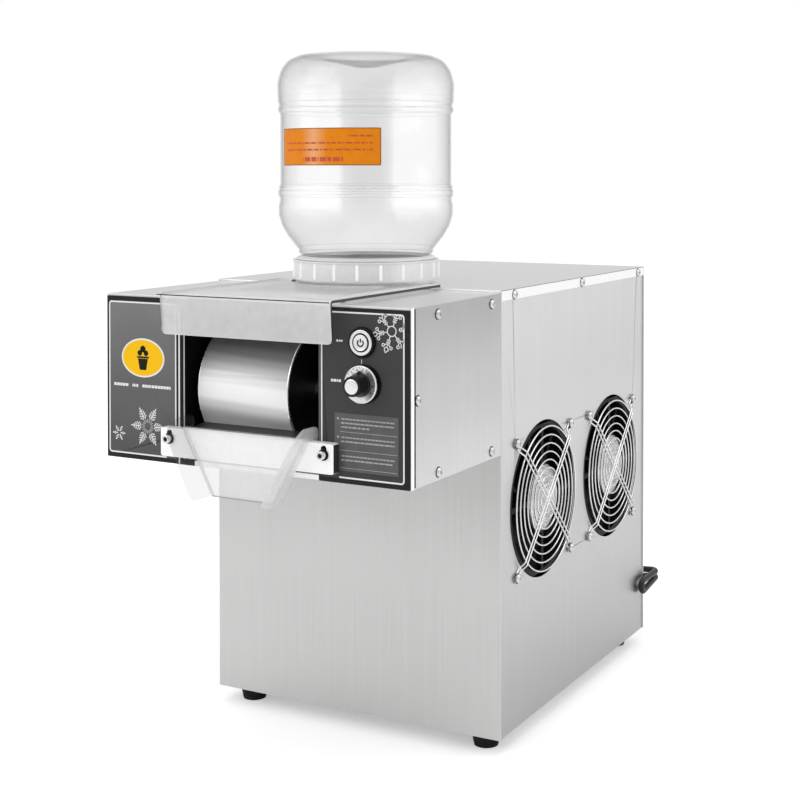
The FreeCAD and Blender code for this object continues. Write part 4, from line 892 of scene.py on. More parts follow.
def build_cap_ribs():
    """Twenty upright grip ribs round the cap, and the rolled lip at its mouth."""
    radius = (CAP_HIGH.x - CAP_LOW.x) / 2
    foot_z = 349.4 * MM
    low, high = foot_z - CAP_HIGH.z, -1.6 * MM
    count = 20

    def ribs(bm):
        for number in range(count):
            angle = 2 * math.pi * (number + 0.35) / count
            turn = Matrix.Rotation(angle, 4, "Z")
            loop = rectangle((-1.1 * MM, 1.1 * MM), (low, high), 0.9 * MM, 4)
            rings = []
            for inset_mm, out_mm in ((0.0, -0.6), (0.0, 0.45), (0.3, 0.8), (0.7, 0.95)):
                inset, out = inset_mm * MM, out_mm * MM
                ring = []
                for p in loop:
                    x = p.x - math.copysign(min(inset, abs(p.x)), p.x)
                    y = p.y - math.copysign(inset, p.y - (low + high) / 2)
                    ring.append(turn @ Vector((radius + out, x, y)))
                rings.append(ring)
            loft(bm, rings)

    def lip(bm):
        outline = [(58.2, -1.4), (59.3, -1.4, 0.5), (59.3, 0.25, 0.6), (57.0, 0.25, 0.5), (57.0, -0.3)]
        lathe(bm, in_mm(outline, 4), 128, wrap=True)

    spot = Matrix.Translation(CAP_SPOT)
    add_piece(solid("cap_grip_ribs", ribs, spot), "bottle_cap", "cap_plastic", glowing_rib_plastic)
    add_piece(solid("cap_lip", lip, spot), "bottle_cap", "cap_plastic", cap_plastic)


# Clear sheets

def folded_sheet(name, loop, cuts, shape, thickness, materials):
    """A flat sheet over a loop, scored at heights in cuts, bent by shape(x, y) and given its thickness.
    Its materials are for the faces, the sawn edges and the fine bevels along them."""
    bm = bmesh.new()
    bm.faces.new([bm.verts.new((p[0], p[1], 0)) for p in loop])
    bmesh.ops.triangulate(bm, faces=list(bm.faces))
    for height in cuts:
        cut_across(bm, (0, height, 0), BACKWARD)
    for vertex in bm.verts:
        vertex.co = shape(vertex.co.x, vertex.co.y)
    bmesh.ops.recalc_face_normals(bm, faces=list(bm.faces))
    mesh = bpy.data.meshes.new(name)
    bm.to_mesh(mesh)
    bm.free()
    for material in materials:
        mesh.materials.append(material)

    def thicken(modifiers):
        thick = modifiers.new("thickness", "SOLIDIFY")
        thick.thickness = thickness
        thick.offset = 0
        thick.use_even_offset = True
        thick.material_offset_rim = 1
        edge = modifiers.new("edge", "BEVEL")
        edge.width = 0.6 * MM
        edge.segments = 2
        edge.material = 2
        edge.limit_method = "ANGLE"
        edge.angle_limit = math.radians(50)

    result = finished(mesh, thicken)
    result.name = name
    shade(result, 38)
    return result


def build_visor():
    """One sheet: a lip down the front, a bend, and a lid back to a notch round the bottle's cap."""
    low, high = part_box("visor")
    thickness = 2.0 * MM
    bend = 2.2 * MM
    half = high.x
    front = low.y + thickness / 2
    lean = 2.2 * MM
    level = high.z - thickness / 2
    lip_height = level - bend - low.z
    curl = bend * math.pi / 2
    back = high.y
    notch = 60.5 * MM
    lid_length = back - front - bend
    total = lip_height + curl + lid_length
    axis = lip_height + curl + (BOTTLE.y - front - bend)
    reach = math.sqrt(notch ** 2 - (axis - total) ** 2)
    start = math.asin(reach / notch)
    cut = []
    for step in range(33):
        angle = start - 2 * start * step / 32
        cut.append(Vector((notch * math.sin(angle), axis - notch * math.cos(angle))))
    corner, foot = 4.0 * MM, 0.9 * MM
    loop = rounded([(-half, foot, corner), (half, foot, corner), (half, total, 1 * MM), (reach, total)])[:-1]
    loop = loop + cut + rounded([(half, foot), (-half, total, 1 * MM), (-half, foot)], closed=False)[1:-1]

    def shape(x, s):
        if s <= lip_height:
            return Vector((x, front + lean * (1 - s / lip_height), low.z + s))
        if s >= lip_height + curl:
            return Vector((x, front + bend + s - lip_height - curl, level))
        angle = (s - lip_height) / bend
        return Vector((x, front + bend - bend * math.cos(angle), low.z + lip_height + bend * math.sin(angle)))

    cuts = [lip_height + curl * step / 8 for step in range(9)]
    mesh = folded_sheet("visor_clear", loop, cuts, shape, thickness, (visor_plastic, cut_edge, cut_edge))
    add_piece(mesh, "visor", "clear_acrylic", stands_for=["visor"])

    # Painted shade: a dark strip laid on the front of the clear sheet along its bend.
    def fold(bm):
        line = rectangle((-half + 1 * MM, half - 1 * MM), (high.z - 1.9 * MM, high.z - 1.2 * MM))
        prism(bm, line, 0, 0.06 * MM)

    place = facing(FORWARD, Vector((0, low.y + 0.04 * MM, 0)))
    add_piece(solid("visor_fold_shade", fold, place), "visor", "clear_acrylic", dark_ink)


def build_visor_pads():
    """The two stick-on pads that hold the visor off the head's top plate."""
    low_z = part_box("head_top_plate")[1].z
    high_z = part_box("visor")[1].z - 2.0 * MM

    def draw(bm):
        radius, tall, corner = 5 * MM, high_z - low_z, 0.3 * MM
        profile = rounded([(0, 0), (radius, 0, corner), (radius, tall, corner), (0, tall)], 4, closed=False)
        for side in (-1, 1):
            spot = Vector((side * 62 * MM, FASCIA_Y + 20 * MM, low_z))
            lathe(bm, profile, 32, place=Matrix.Translation(spot))

    add_piece(solid("visor_pads", draw), "visor", "clear_acrylic", cut_edge)


def build_chute():
    """A tapered back plate between two slanted wings, whose hooks hang over the blade bar."""
    low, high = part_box("ice_chute")
    bar_low, bar_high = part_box("blade_bar")
    wall = 2.5 * MM
    plate_front = bar_low.y - 0.1 * MM - wall
    plate_top = 249.0 * MM
    top_half, foot_half = 53 * MM, 27 * MM
    slope = (top_half - foot_half) / (plate_top - low.z)
    reach_top, reach_foot = FASCIA_Y - 26 * MM, FASCIA_Y - 29 * MM
    bar_back = FASCIA_Y + 0.3 * MM
    bar_over = bar_high.z + 0.05 * MM

    def backing(bm):
        inset = 0.2 * MM
        loop = [(-top_half + inset, plate_top), (-foot_half + inset, low.z), (foot_half - inset, low.z),
                (top_half - inset, plate_top)]
        prism(bm, loop, 0, wall)

    place = facing(FORWARD, Vector((0, plate_front + wall, 0)))
    mesh = solid("chute_back", backing, place)
    back = add_piece(mesh, "ice_chute", "clear_acrylic", chute_plastic, edge_shade_line)
    soften(back, 0.35 * MM)
    back.modifiers["bevel"].material = 1
    corners = [(plate_front + wall, low.z, 0.4 * MM), (reach_foot, low.z, 5 * MM),
               (reach_top, plate_top, 9 * MM),
               (plate_front - 2 * MM, high.z, 7 * MM), (high.y, high.z, 4 * MM),
               (high.y, bar_high.z - 6 * MM, 1.6 * MM), (bar_back, bar_high.z - 6 * MM, 1 * MM),
               (bar_back, bar_over, 0.5 * MM), (plate_front + wall, bar_over, 0.5 * MM)]
    loop = rounded(corners, 8)
    cuts = [plate_top + MM * step for step in range(-5, 2)]
    for side, name in ((-1, "chute_wing_left"), (1, "chute_wing_right")):
        def shape(y, z, side=side):
            fall = max(0.0, plate_top - 2 * MM - z)
            near = min(1.0, max(0.0, (plate_top + 1 * MM - z) / (6 * MM)))
            drop = fall * slope if z < plate_top - 5 * MM else slope * 3 * MM * near ** 2
            return Vector((side * (top_half + wall / 2 - drop), y, z))

        # Painted light: the near wing takes the brighter copy of the plastic and the far wing takes the
        # darker one.
        sheet, standing = (near_wing_lit, ["ice_chute"]) if side == 1 else (far_wing_shaded, [])
        mesh = folded_sheet(name, loop, cuts, shape, wall, (sheet, sheet, edge_shade_line))
        add_piece(mesh, "ice_chute", "clear_acrylic", stands_for=standing)


def build_drum_rims():
    """The rolled bright rims at the drum's two ends."""
    low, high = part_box("drum_shell")
    middle = (low + high) / 2
    outer = (high.z - low.z) / 2 - 0.05 * MM
    inner = outer - 1.45 * MM

    def draw(bm):
        for side, x in ((LEFT, low.x), (RIGHT, high.x)):
            place = facing(side, Vector((x, middle.y, middle.z)))
            outline = rounded([(inner, -1.2 * MM), (outer, -1.2 * MM, 0.4 * MM), (outer, 0.5 * MM, 0.5 * MM),
                               (inner, 0.5 * MM, 0.4 * MM)], 4)
            lathe(bm, outline, wrap=True, place=place)

    add_piece(solid("drum_rims", draw), "drum", "drum_steel", button_metal)


# Screws

def islands(node):
    """The low and high corners of each separate solid of a CAD node."""
    bm = bmesh.new()
    bm.from_mesh(NODES[node].data)
    bmesh.ops.remove_doubles(bm, verts=bm.verts, dist=1e-6)
    unseen = set(bm.verts)
    found = []
    while unseen:
        first = min(unseen, key=lambda v: v.index)
        unseen.discard(first)
        group, waiting = [first.co.copy()], [first]
        while waiting:
            for edge in waiting.pop().link_edges:
                for vertex in edge.verts:
                    if vertex in unseen:
                        unseen.discard(vertex)
                        group.append(vertex.co.copy())
                        waiting.append(vertex)
        low = Vector([min(p[axis] for p in group) for axis in range(3)])
        high = Vector([max(p[axis] for p in group) for axis in range(3)])
        found.append((low, high))
    bm.free()
    return found


def cross_recess(x, y):
    """How deep a cross slot is at a point, from 0 to 1."""
    narrow, long = 0.42 * MM, 1.75 * MM
    one = min(1.0, max(0.0, (narrow - abs(x)) / (0.12 * MM) + 1)) * (abs(y) < long)
    other = min(1.0, max(0.0, (narrow - abs(y)) / (0.12 * MM) + 1)) * (abs(x) < long)
    return max(one, other)


def hexagon_recess(x, y):
    """How deep a hexagon socket is at a point, from 0 to 1."""
    turns = [math.radians(60 * side) for side in range(3)]
    reach = max(abs(math.cos(turn) * x + math.sin(turn) * y) for turn in turns)
    return min(1.0, max(0.0, (1.5 * MM - reach) / (0.12 * MM) + 1))


def screw_head(bm, place, radius, height, dome, recess, depth, shank, length):
    """A turned head whose top carries a recess, over a plain shank."""
    steps = 48
    rows = 22
    flat = radius - dome
    profile = [(0.0, -length), (shank, -length), (shank, 0.0), (radius, 0.0)]
    for step in range(7):
        angle = math.pi / 2 * step / 6
        profile.append((flat + dome * math.cos(angle), height - dome + dome * math.sin(angle)))
    profile += [(flat * (1 - row / rows), height) for row in range(1, rows + 1)]
    rings = []
    for r, h in profile:
        ring = []
        for step in range(steps):
            angle = 2 * math.pi * step / steps
            x, y = r * math.cos(angle), r * math.sin(angle)
            sink = recess(x, y) * depth if h >= height - 1e-9 else 0
            crown = 0.25 * MM * (1 - (r / radius) ** 2) if h >= height - 1e-9 else 0
            ring.append(place @ Vector((x, y, h + crown - sink)))
        rings.append(ring)
    loft(bm, rings)


def build_case_screws():
    """Pan screws with a cross recess: most face left or right, and some face up."""
    tall_up, tall_sideways = 2.4 * MM, 2.2 * MM

    def draw(bm):
        for low, high in islands("case_screws"):
            middle = (low + high) / 2
            if high.z - low.z > high.x - low.x:
                seat = Vector((middle.x, middle.y, high.z - tall_up))
                place = facing(UP, seat, BACKWARD)
                screw_head(bm, place, 3.8 * MM, tall_up, 0.8 * MM, cross_recess, 1.1 * MM, 2 * MM,
                           seat.z - low.z)
                continue
            normal = RIGHT if middle.x > 0 else LEFT
            seat_x = (high.x - tall_sideways) if middle.x > 0 else (low.x + tall_sideways)
            length = high.x - low.x - tall_sideways
            turn = Matrix.Rotation(middle.y * 70, 4, "Z")
            place = facing(normal, Vector((seat_x, middle.y, middle.z))) @ turn
            screw_head(bm, place, 3.4 * MM, 2.0 * MM, 1.1 * MM, cross_recess, 1.1 * MM, 1.6 * MM, length)

    add_piece(solid("case_screw_set", draw), "cabinet", "fasteners", screw_zinc, stands_for=["case_screws"])


def build_guard_screws():
    """Pan screws that face right, round the fan guards."""
    tall = 2.4 * MM

    def draw(bm):
        for low, high in islands("guard_screws"):
            middle = (low + high) / 2
            place = facing(RIGHT, Vector((high.x - tall, middle.y, middle.z)))
            place = place @ Matrix.Rotation(middle.y * 50 + middle.z * 30, 4, "Z")
            length = high.x - low.x - tall
            screw_head(bm, place, 3.6 * MM, 2.2 * MM, 1.2 * MM, cross_recess, 1.1 * MM, 1.4 * MM, length)

    add_piece(solid("guard_screw_set", draw), "cabinet", "fasteners", screw_zinc, stands_for=["guard_screws"])


def build_screw_rings():
    """A thin dark ring of painted shadow under the head of each screw that faces sideways."""
    def draw(bm):
        for name, head, stand in (("case_screws", 3.4 * MM, 2.2 * MM), ("guard_screws", 3.6 * MM, 2.4 * MM)):
            for low, high in islands(name):
                if high.z - low.z > high.x - low.x:
                    continue
                middle = (low + high) / 2
                normal = RIGHT if middle.x > 0 else LEFT
                seat = Vector((high.x - stand if middle.x > 0 else low.x + stand, middle.y, middle.z))
                rim, hole = circle((0, 0), head + 0.55 * MM), circle((0, 0), head - 0.4 * MM)
                # Painted shadow: a dark ring round each head.
                prism(bm, rim, 0, 0.12 * MM, hole, facing(normal, seat))

    add_piece(solid("screw_shadow_rings", draw), "cabinet", "fasteners", dark_ink)


def build_head_seams():
    """The dark joint between the head's front frame and each of its sides."""
    low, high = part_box("head_right_side")

    def draw(bm):
        for side in (-1, 1):
            start, end = (low.y - 0.2 * MM, low.y + 1.4 * MM)
            place = facing(Vector((side, 0, 0)), Vector((side * high.x, 0, 0)))
            loop = rectangle(sorted((side * start, side * end)), (low.z + 1 * MM, high.z - 1 * MM))
            prism(bm, loop, 0, 0.05 * MM, place=place)

    add_piece(solid("head_side_seams", draw), "cabinet", "black_fascia", dark_ink)


def build_blade_screws():
    """Socket screws, each over a dark washer, with painted shade as a dark disc down in each socket."""
    head = 4 * MM
    washers, screws = [], []
    for low, high in islands("blade_screws"):
        (washers if high.y - low.y < 3 * MM else screws).append((low, high))

    def draw_screws(bm):
        for low, high in screws:
            middle = (low + high) / 2
            place = facing(FORWARD, Vector((middle.x, low.y + head, middle.z)))
            screw_head(bm, place, 3.0 * MM, 3.8 * MM, 0.5 * MM, hexagon_recess, 1.9 * MM, 2 * MM,
                       high.y - low.y - head)

    # Painted shade: a dark disc down in each socket.
    def draw_sockets(bm):
        for low, high in screws:
            middle = (low + high) / 2
            disc = circle((middle.x, middle.z), 1.35 * MM, 24)
            prism(bm, disc, -low.y + FASCIA_Y - 1.2 * MM, -low.y + FASCIA_Y - 0.9 * MM)

    def draw_washers(bm):
        for low, high in washers:
            middle = (low + high) / 2
            thick = high.y - low.y
            reach = (high.x - low.x) / 2
            hole = 2.0 * MM
            outline = rounded([(hole, 0), (reach, 0, 0.2 * MM), (reach, thick, 0.25 * MM), (hole, thick)])
            place = facing(FORWARD, Vector((middle.x, high.y, middle.z)))
            lathe(bm, outline, 48, wrap=True, place=place)

    add_piece(solid("blade_socket_screws", draw_screws), "cabinet", "fasteners", screw_zinc,
              stands_for=["blade_screws"])
    add_piece(solid("blade_washers", draw_washers), "cabinet", "fasteners", dark_ink)
    add_piece(solid("blade_socket_shade", draw_sockets, PRINT), "cabinet", "fasteners", dark_ink)


# Controls

BUTTON = centre_of("power_button")
BUTTON_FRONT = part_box("power_button")[0].y
DIAL = centre_of("speed_dial")
KNOB_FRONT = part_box("speed_knob")[0].y


def build_button():
    """A dished push button with a power mark, in a bright ring, with painted shade in the gap round the cap
    and over the ring's outer side.
    """
    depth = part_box("power_button")[1].y - BUTTON_FRONT
    spot = facing(FORWARD, Vector((BUTTON.x, BUTTON_FRONT + depth, BUTTON.z)))

    def button(bm):
        corners = [(0, 0), (5.6, 0, 0.2), (5.6, depth / MM, 0.4), (5.2, depth / MM, 0.3),
                   (4.7, depth / MM - 0.3, 1.0), (0, depth / MM - 0.4)]
        lathe(bm, in_mm(corners, 5, closed=False), 72)

    def mark(bm):
        level = depth - 0.4 * MM
        prism(bm, arc_band((0, -0.15 * MM), 2.3 * MM, 1.0 * MM, 130, 410, 30), level, level + 0.15 * MM)
        prism(bm, bar((0, 0.2 * MM), (0, 2.9 * MM), 1.0 * MM), level, level + 0.15 * MM)

    def ring(bm):
        lathe(bm, in_mm([(6.65, 0.2), (8.9, 0.2), (8.9, 2.75, 0.5), (6.65, 2.75, 0.3)], 5), wrap=True)

    # Painted shade: dark rings in the gap round the cap and over the ring's outer side.
    def groove(bm):
        inside = [(5.65, 1.2), (6.63, 1.2), (6.63, 2.55), (5.65, 2.55)]
        outside = [(8.92, 2.3), (9.82, 2.3), (9.82, 0.0), (10.7, 0.0), (10.7, 1.2), (9.9, 2.5), (8.92, 2.6)]
        for outline in (inside, outside):
            lathe(bm, in_mm(outline), wrap=True)

    panel = facing(FORWARD, Vector((BUTTON.x, FASCIA_Y, BUTTON.z)))
    add_piece(solid("power_button_cap", button, spot), "power_button", "fasteners", button_metal,
              stands_for=["power_button"])
    add_piece(solid("power_button_mark", mark, spot), "power_button", "fasteners", dark_ink)
    add_piece(solid("power_button_ring", ring, panel), "cabinet", "fasteners", button_metal)
    add_piece(solid("power_button_shade", groove, panel), "cabinet", "fasteners", dark_ink)


def text_mesh(body, size, place, depth):
    """Solid characters, centred on place."""
    curve = bpy.data.curves.new("text", "FONT")
    curve.body = body
    curve.size = size
    curve.extrude = depth
    curve.align_x = "CENTER"
    curve.align_y = "CENTER"
    mesh = finished(curve)
    mesh.transform(place)
    return mesh


def build_dial():
    """The knob's bright skirt with its ticks and numbers, which turns with the knob."""
    low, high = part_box("speed_dial")
    radius = (high.x - low.x) / 2
    thick = high.y - low.y
    spot = facing(FORWARD, Vector((DIAL.x, high.y, DIAL.z)))

    def disc(bm):
        outline = [(3.0, 0), (13.0, 0, 0.2), (13.0, 1.0, 0.3), (12.3, 1.5, 0.3), (9.0, 1.5, 0.2),
                   (8.8, 1.42, 0.1), (3.0, 1.42)]
        lathe(bm, in_mm(outline, 4), 120, wrap=True)

    def ticks(bm):
        for number in range(51):
            angle = math.radians(-135 + 270 * number / 50)
            major = number % 5 == 0
            start = (radius - (1.0 if major else 0.5) * MM - 0.75 * MM)
            end = radius - 0.8 * MM
            way = Vector((math.sin(angle), math.cos(angle)))
            prism(bm, bar(way * start, way * end, 0.45 * MM if major else 0.16 * MM), thick - 0.02 * MM,
                  thick + 0.05 * MM)
        for number in range(10):
            angle = math.radians(-120 + 240 * number / 9)
            reach = radius - 2.9 * MM
            turn = Matrix.Rotation(-angle, 4, "Z") @ Matrix.Translation((0, reach, thick + 0.03 * MM))
            bm.from_mesh(text_mesh(str(number), 2.9 * MM, turn, 0.04 * MM))

    # Painted shadow: a dark disc on the fascia behind the dial, set a little to the right.
    def field(bm):
        prism(bm, circle((DIAL.x + 1.4 * MM, DIAL.z), 13.2 * MM, 72), 0, 0.1 * MM)

    add_piece(solid("dial_painted_shadow", field, PRINT), "cabinet", "white_plastic", dark_ink)
    add_piece(solid("speed_dial_skirt", disc, spot), "speed_knob", "dial_metal", dial_metal,
              stands_for=["speed_dial"])
    add_piece(solid("speed_dial_marks", ticks, spot), "speed_knob", "dial_metal", dark_ink)


def build_knob():
    """A fluted black knob with a bright disc in its end and a pointer at its foot."""
    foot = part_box("speed_knob")[1].y
    tall = foot - KNOB_FRONT
    spot = facing(FORWARD, Vector((DIAL.x, foot, DIAL.z)))
    flutes = 18

    def fluted(radius, height, angle):
        if height < 1.6 * MM or height > tall - 0.9 * MM or radius < 5 * MM:
            return radius
        return radius - 0.22 * MM * max(0.0, math.cos(flutes * angle)) ** 2

    def body(bm):
        end = tall / MM
        outline = [(3.0, 0), (8.4, 0, 0.4), (8.4, 1.2, 0.4), (7.9, 1.7, 0.3), (6.9, end - 0.6, 0.2),
                   (6.4, end, 0.4), (5.5, end, 0.1), (5.4, end - 0.25), (0, end - 0.25)]
        profile = in_mm(outline, 4, closed=False)
        rows = []
        for first, second in zip(profile, profile[1:]):
            pieces = max(1, round(abs(second.y - first.y) / (1.2 * MM)))
            rows += [first.lerp(second, k / pieces) for k in range(pieces)]
        rows.append(profile[-1])
        lathe(bm, rows, 216, shape=fluted)

    def pointer(bm):
        loop = rounded([(-2.0 * MM, 7.0 * MM, 0.3 * MM), (2.0 * MM, 7.0 * MM, 0.3 * MM),
                        (0.35 * MM, 9.6 * MM, 0.3 * MM), (-0.35 * MM, 9.6 * MM, 0.3 * MM)], 3)
        prism(bm, loop, 0.05 * MM, 2.0 * MM)

    def end_disc(bm):
        corners = [(0, -0.6), (5.25, -0.6), (5.25, 0.05, 0.2), (4.7, 0.2, 0.3), (0, 0.25)]
        lathe(bm, in_mm(corners, 4, closed=False), place=Matrix.Translation(UP * (tall - 0.25 * MM)))

    add_piece(solid("speed_knob_grip", body, spot), "speed_knob", "knob_plastic", knob_plastic,
              stands_for=["speed_knob"])
    mesh = solid("speed_knob_pointer", pointer, spot)
    soften(add_piece(mesh, "speed_knob", "knob_plastic", knob_plastic), 0.3 * MM)
    add_piece(solid("speed_knob_disc", end_disc, spot), "speed_knob", "dial_metal", button_metal)


# Printing on the fascia

BORDER = 1.1 * MM
BORDER_FOOT = 222.4 * MM
SKIN = 0.3 * MM


def frame_line(bm, x, z, width, radius):
    """A thin printed border with rounded corners."""
    outer = rectangle(x, z, radius)
    inner = rectangle((x[0] + width, x[1] - width), (z[0] + width, z[1] - width), radius - width)
    prism(bm, outer, 0, INK, inner)


def turned_stroke(bm, centre, size, degrees, start, end, width):
    """A printed stroke turned about a centre. Its points and width are shares of the size."""
    turn = Matrix.Rotation(math.radians(degrees), 2)
    first, last = (Vector(centre) + turn @ Vector(point) * size for point in (start, end))
    prism(bm, bar(first, last, width * size), 0, INK)


def feathered_snowflake(bm, centre, size):
    """Six arms of small paired strokes, each pointed at its tip, round a ring of short rays."""
    def stroke(*details):
        turned_stroke(bm, centre, size, *details)

    for ray in range(18):
        stroke(20 * ray, (0, 0.19), (0, 0.36), 0.018)
    for arm in range(6):
        turn = 60 * arm + 30
        stroke(turn, (0, 0.42), (0, 1.0), 0.05)
        for reach, length in ((0.4, 0.2), (0.53, 0.19), (0.66, 0.15), (0.79, 0.1)):
            for side in (-1, 1):
                stroke(turn, (side * 0.045, reach), (side * length, reach + length * 0.62), 0.045)


def small_snowflake(bm, centre, size):
    """Six stout strokes with a nub on each side, round an open middle."""
    for arm in range(6):
        turn = 60 * arm + 30
        turned_stroke(bm, centre, size, turn, (0, 0.24), (0, 1.0), 0.17)
        turned_stroke(bm, centre, size, turn, (-0.2, 0.62), (0.2, 0.62), 0.15)


def outline_snowflake(bm, centre, size, x_limit, z_limit):
    """A large open snowflake of thin lines, cut off by the border round it."""
    middle = Vector(centre)
    line = 0.042 * size

    def kept(point):
        return point.x < x_limit and point.y < z_limit

    def stroke(start, end):
        if kept(start) and kept(end):
            prism(bm, bar(start, end, line), 0, INK)

    corners = [middle + Vector((math.sin(math.radians(a)), math.cos(math.radians(a)))) * size * 0.22
               for a in range(0, 360, 30)]
    for first, second in zip(corners, corners[1:] + corners[:1]):
        stroke(first, second)
    for arm in range(6):
        turn = Matrix.Rotation(math.radians(60 * arm + 41), 2)

        def spot(x, y, turn=turn):
            return middle + turn @ (Vector((x, y)) * size)

        stroke(spot(0, 0.24), spot(0, 0.72))
        for reach in (0.36, 0.46):
            stroke(spot(0, reach), spot(0.09, reach + 0.09))
            stroke(spot(0, reach), spot(-0.09, reach + 0.09))
        diamond = [(0, 0.7), (0.11, 0.83), (0, 0.98), (-0.11, 0.83)]
        for first, second in zip(diamond, diamond[1:] + diamond[:1]):
            stroke(spot(*first), spot(*second))
        for side in (-1, 1):
            stroke(spot(0, 0.56), spot(side * 0.14, 0.66))
            for part in range(8):
                a, b = (math.radians(45 * part), math.radians(45 * part + 45))
                x, y = side * 0.2, 0.7
                stroke(spot(x + 0.065 * math.cos(a), y + 0.065 * math.sin(a)),
                       spot(x + 0.065 * math.cos(b), y + 0.065 * math.sin(b)))


def bar_row(bm, x, z, tall, rhythm):
    """A row of short bars of uneven length, standing in for a line of print."""
    at = x[0]
    while at < x[1]:
        step = (1.9 + 1.1 * math.sin(at / MM * rhythm)) * MM
        end = min(at + step, x[1])
        prism(bm, rectangle((at, end - 0.45 * MM), (z, z + tall)), 0, INK)
        at = end


def clear_under_bar(bm):
    """Cuts away print where the blade bar rests or slides, so nothing raised lies under it."""
    low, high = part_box("blade_bar")
    travel, gap = 3.0 * MM, 0.3 * MM
    bottom, top = low.z - travel - gap, high.z + gap
    left, right = low.x - gap, high.x + gap
    for spot, way in (((left, 0, 0), RIGHT), ((right, 0, 0), RIGHT), ((0, bottom, 0), BACKWARD),
                      ((0, top, 0), BACKWARD)):
        cut_across(bm, spot, way)
    under = []
    for face in bm.faces:
        centre = face.calc_center_median()
        if left < centre.x < right and bottom < centre.y < top:
            under.append(face)
    bmesh.ops.delete(bm, geom=under, context="FACES")
    bmesh.ops.holes_fill(bm, edges=[edge for edge in bm.edges if edge.is_boundary], sides=8)


def build_badge_print():
    """The left film's border and marks, and the thin edges of the opening beside it."""
    low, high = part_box("badge_panel")
    left, right = low.x + 2.0 * MM, high.x - 1.9 * MM
    top = 337.0 * MM
    opening = -59.8 * MM
    foot = (low.z, 222.9 * MM)

    def white(bm):
        frame_line(bm, (left, right), (BORDER_FOOT, top), BORDER, 2.6 * MM)
        feathered_snowflake(bm, (-93.1 * MM, 244.3 * MM), 15.6 * MM)
        small_snowflake(bm, (-120.4 * MM, 237.4 * MM), 5.8 * MM)
        for start, end in ((-125.0, -110.5), (-107.5, -101.5), (-98.0, -71.0)):
            bar_row(bm, (start * MM, end * MM), 273.2 * MM, 2.1 * MM, 2.3)
        clear_under_bar(bm)

    def gap_filler(bm):
        prism(bm, rectangle((high.x, opening), (low.z, high.z)), -SKIN, 0)
        prism(bm, rectangle((opening, -49.5 * MM), foot), -SKIN, 0)

    def gap_line(bm):
        prism(bm, rectangle((high.x + 0.2 * MM, high.x + 1.5 * MM), (low.z + 0.4 * MM, top)), 0, INK)

    def sill(bm):
        prism(bm, rectangle((-49.4 * MM, 58.4 * MM), (219.3 * MM, 222.6 * MM)), -SKIN, 0)

    add_piece(solid("badge_print", white, PRINT), "cabinet", "white_plastic", white_ink)
    add_piece(solid("opening_edge_film", gap_filler, PRINT), "cabinet", "black_fascia", black_plastic)
    add_piece(solid("opening_edge_line", gap_line, PRINT), "cabinet", "white_plastic", white_ink)
    add_piece(solid("opening_sill", sill, PRINT), "cabinet", "brushed_case_steel", bar_steel)
    build_emblem(Vector((-97.2 * MM, 295.3 * MM)))


def build_emblem(centre):
    """An oval badge with a cup of ice on it."""
    def oval(width, height, steps=64):
        angles = [2 * math.pi * step / steps for step in range(steps)]
        return [centre + Vector((width * math.cos(a), height * math.sin(a))) for a in angles]

    def rim(bm):
        prism(bm, oval(20.2 * MM, 14.6 * MM), 0, 0.3 * MM, oval(19.0 * MM, 13.4 * MM))

    def field(bm):
        prism(bm, oval(19.0 * MM, 13.4 * MM), 0, 0.25 * MM)

    def cup(bm):
        z = (0.2 * MM, 0.38 * MM)
        body = rounded([(-4.6, -0.6), (4.6, -0.6), (3.0, -9.0, 0.8), (-3.0, -9.0, 0.8)], 4)
        prism(bm, [centre + p * MM for p in body], *z)
        prism(bm, [centre + p * MM for p in rectangle((-5.6, 5.6), (-0.2, 1.1), 0.4, 3)], *z)
        for x, y, radius in ((-2.9, 3.6, 2.1), (2.9, 3.6, 2.1), (0, 6.6, 2.5)):
            prism(bm, [centre + p * MM for p in circle((x, y), radius, 28)], *z)

    add_piece(solid("emblem_rim", rim, PRINT), "cabinet", "white_plastic", white_ink)
    add_piece(solid("emblem_field", field, PRINT), "cabinet", "white_plastic", badge_yellow)
    add_piece(solid("emblem_cup", cup, PRINT), "cabinet", "white_plastic", dark_ink)


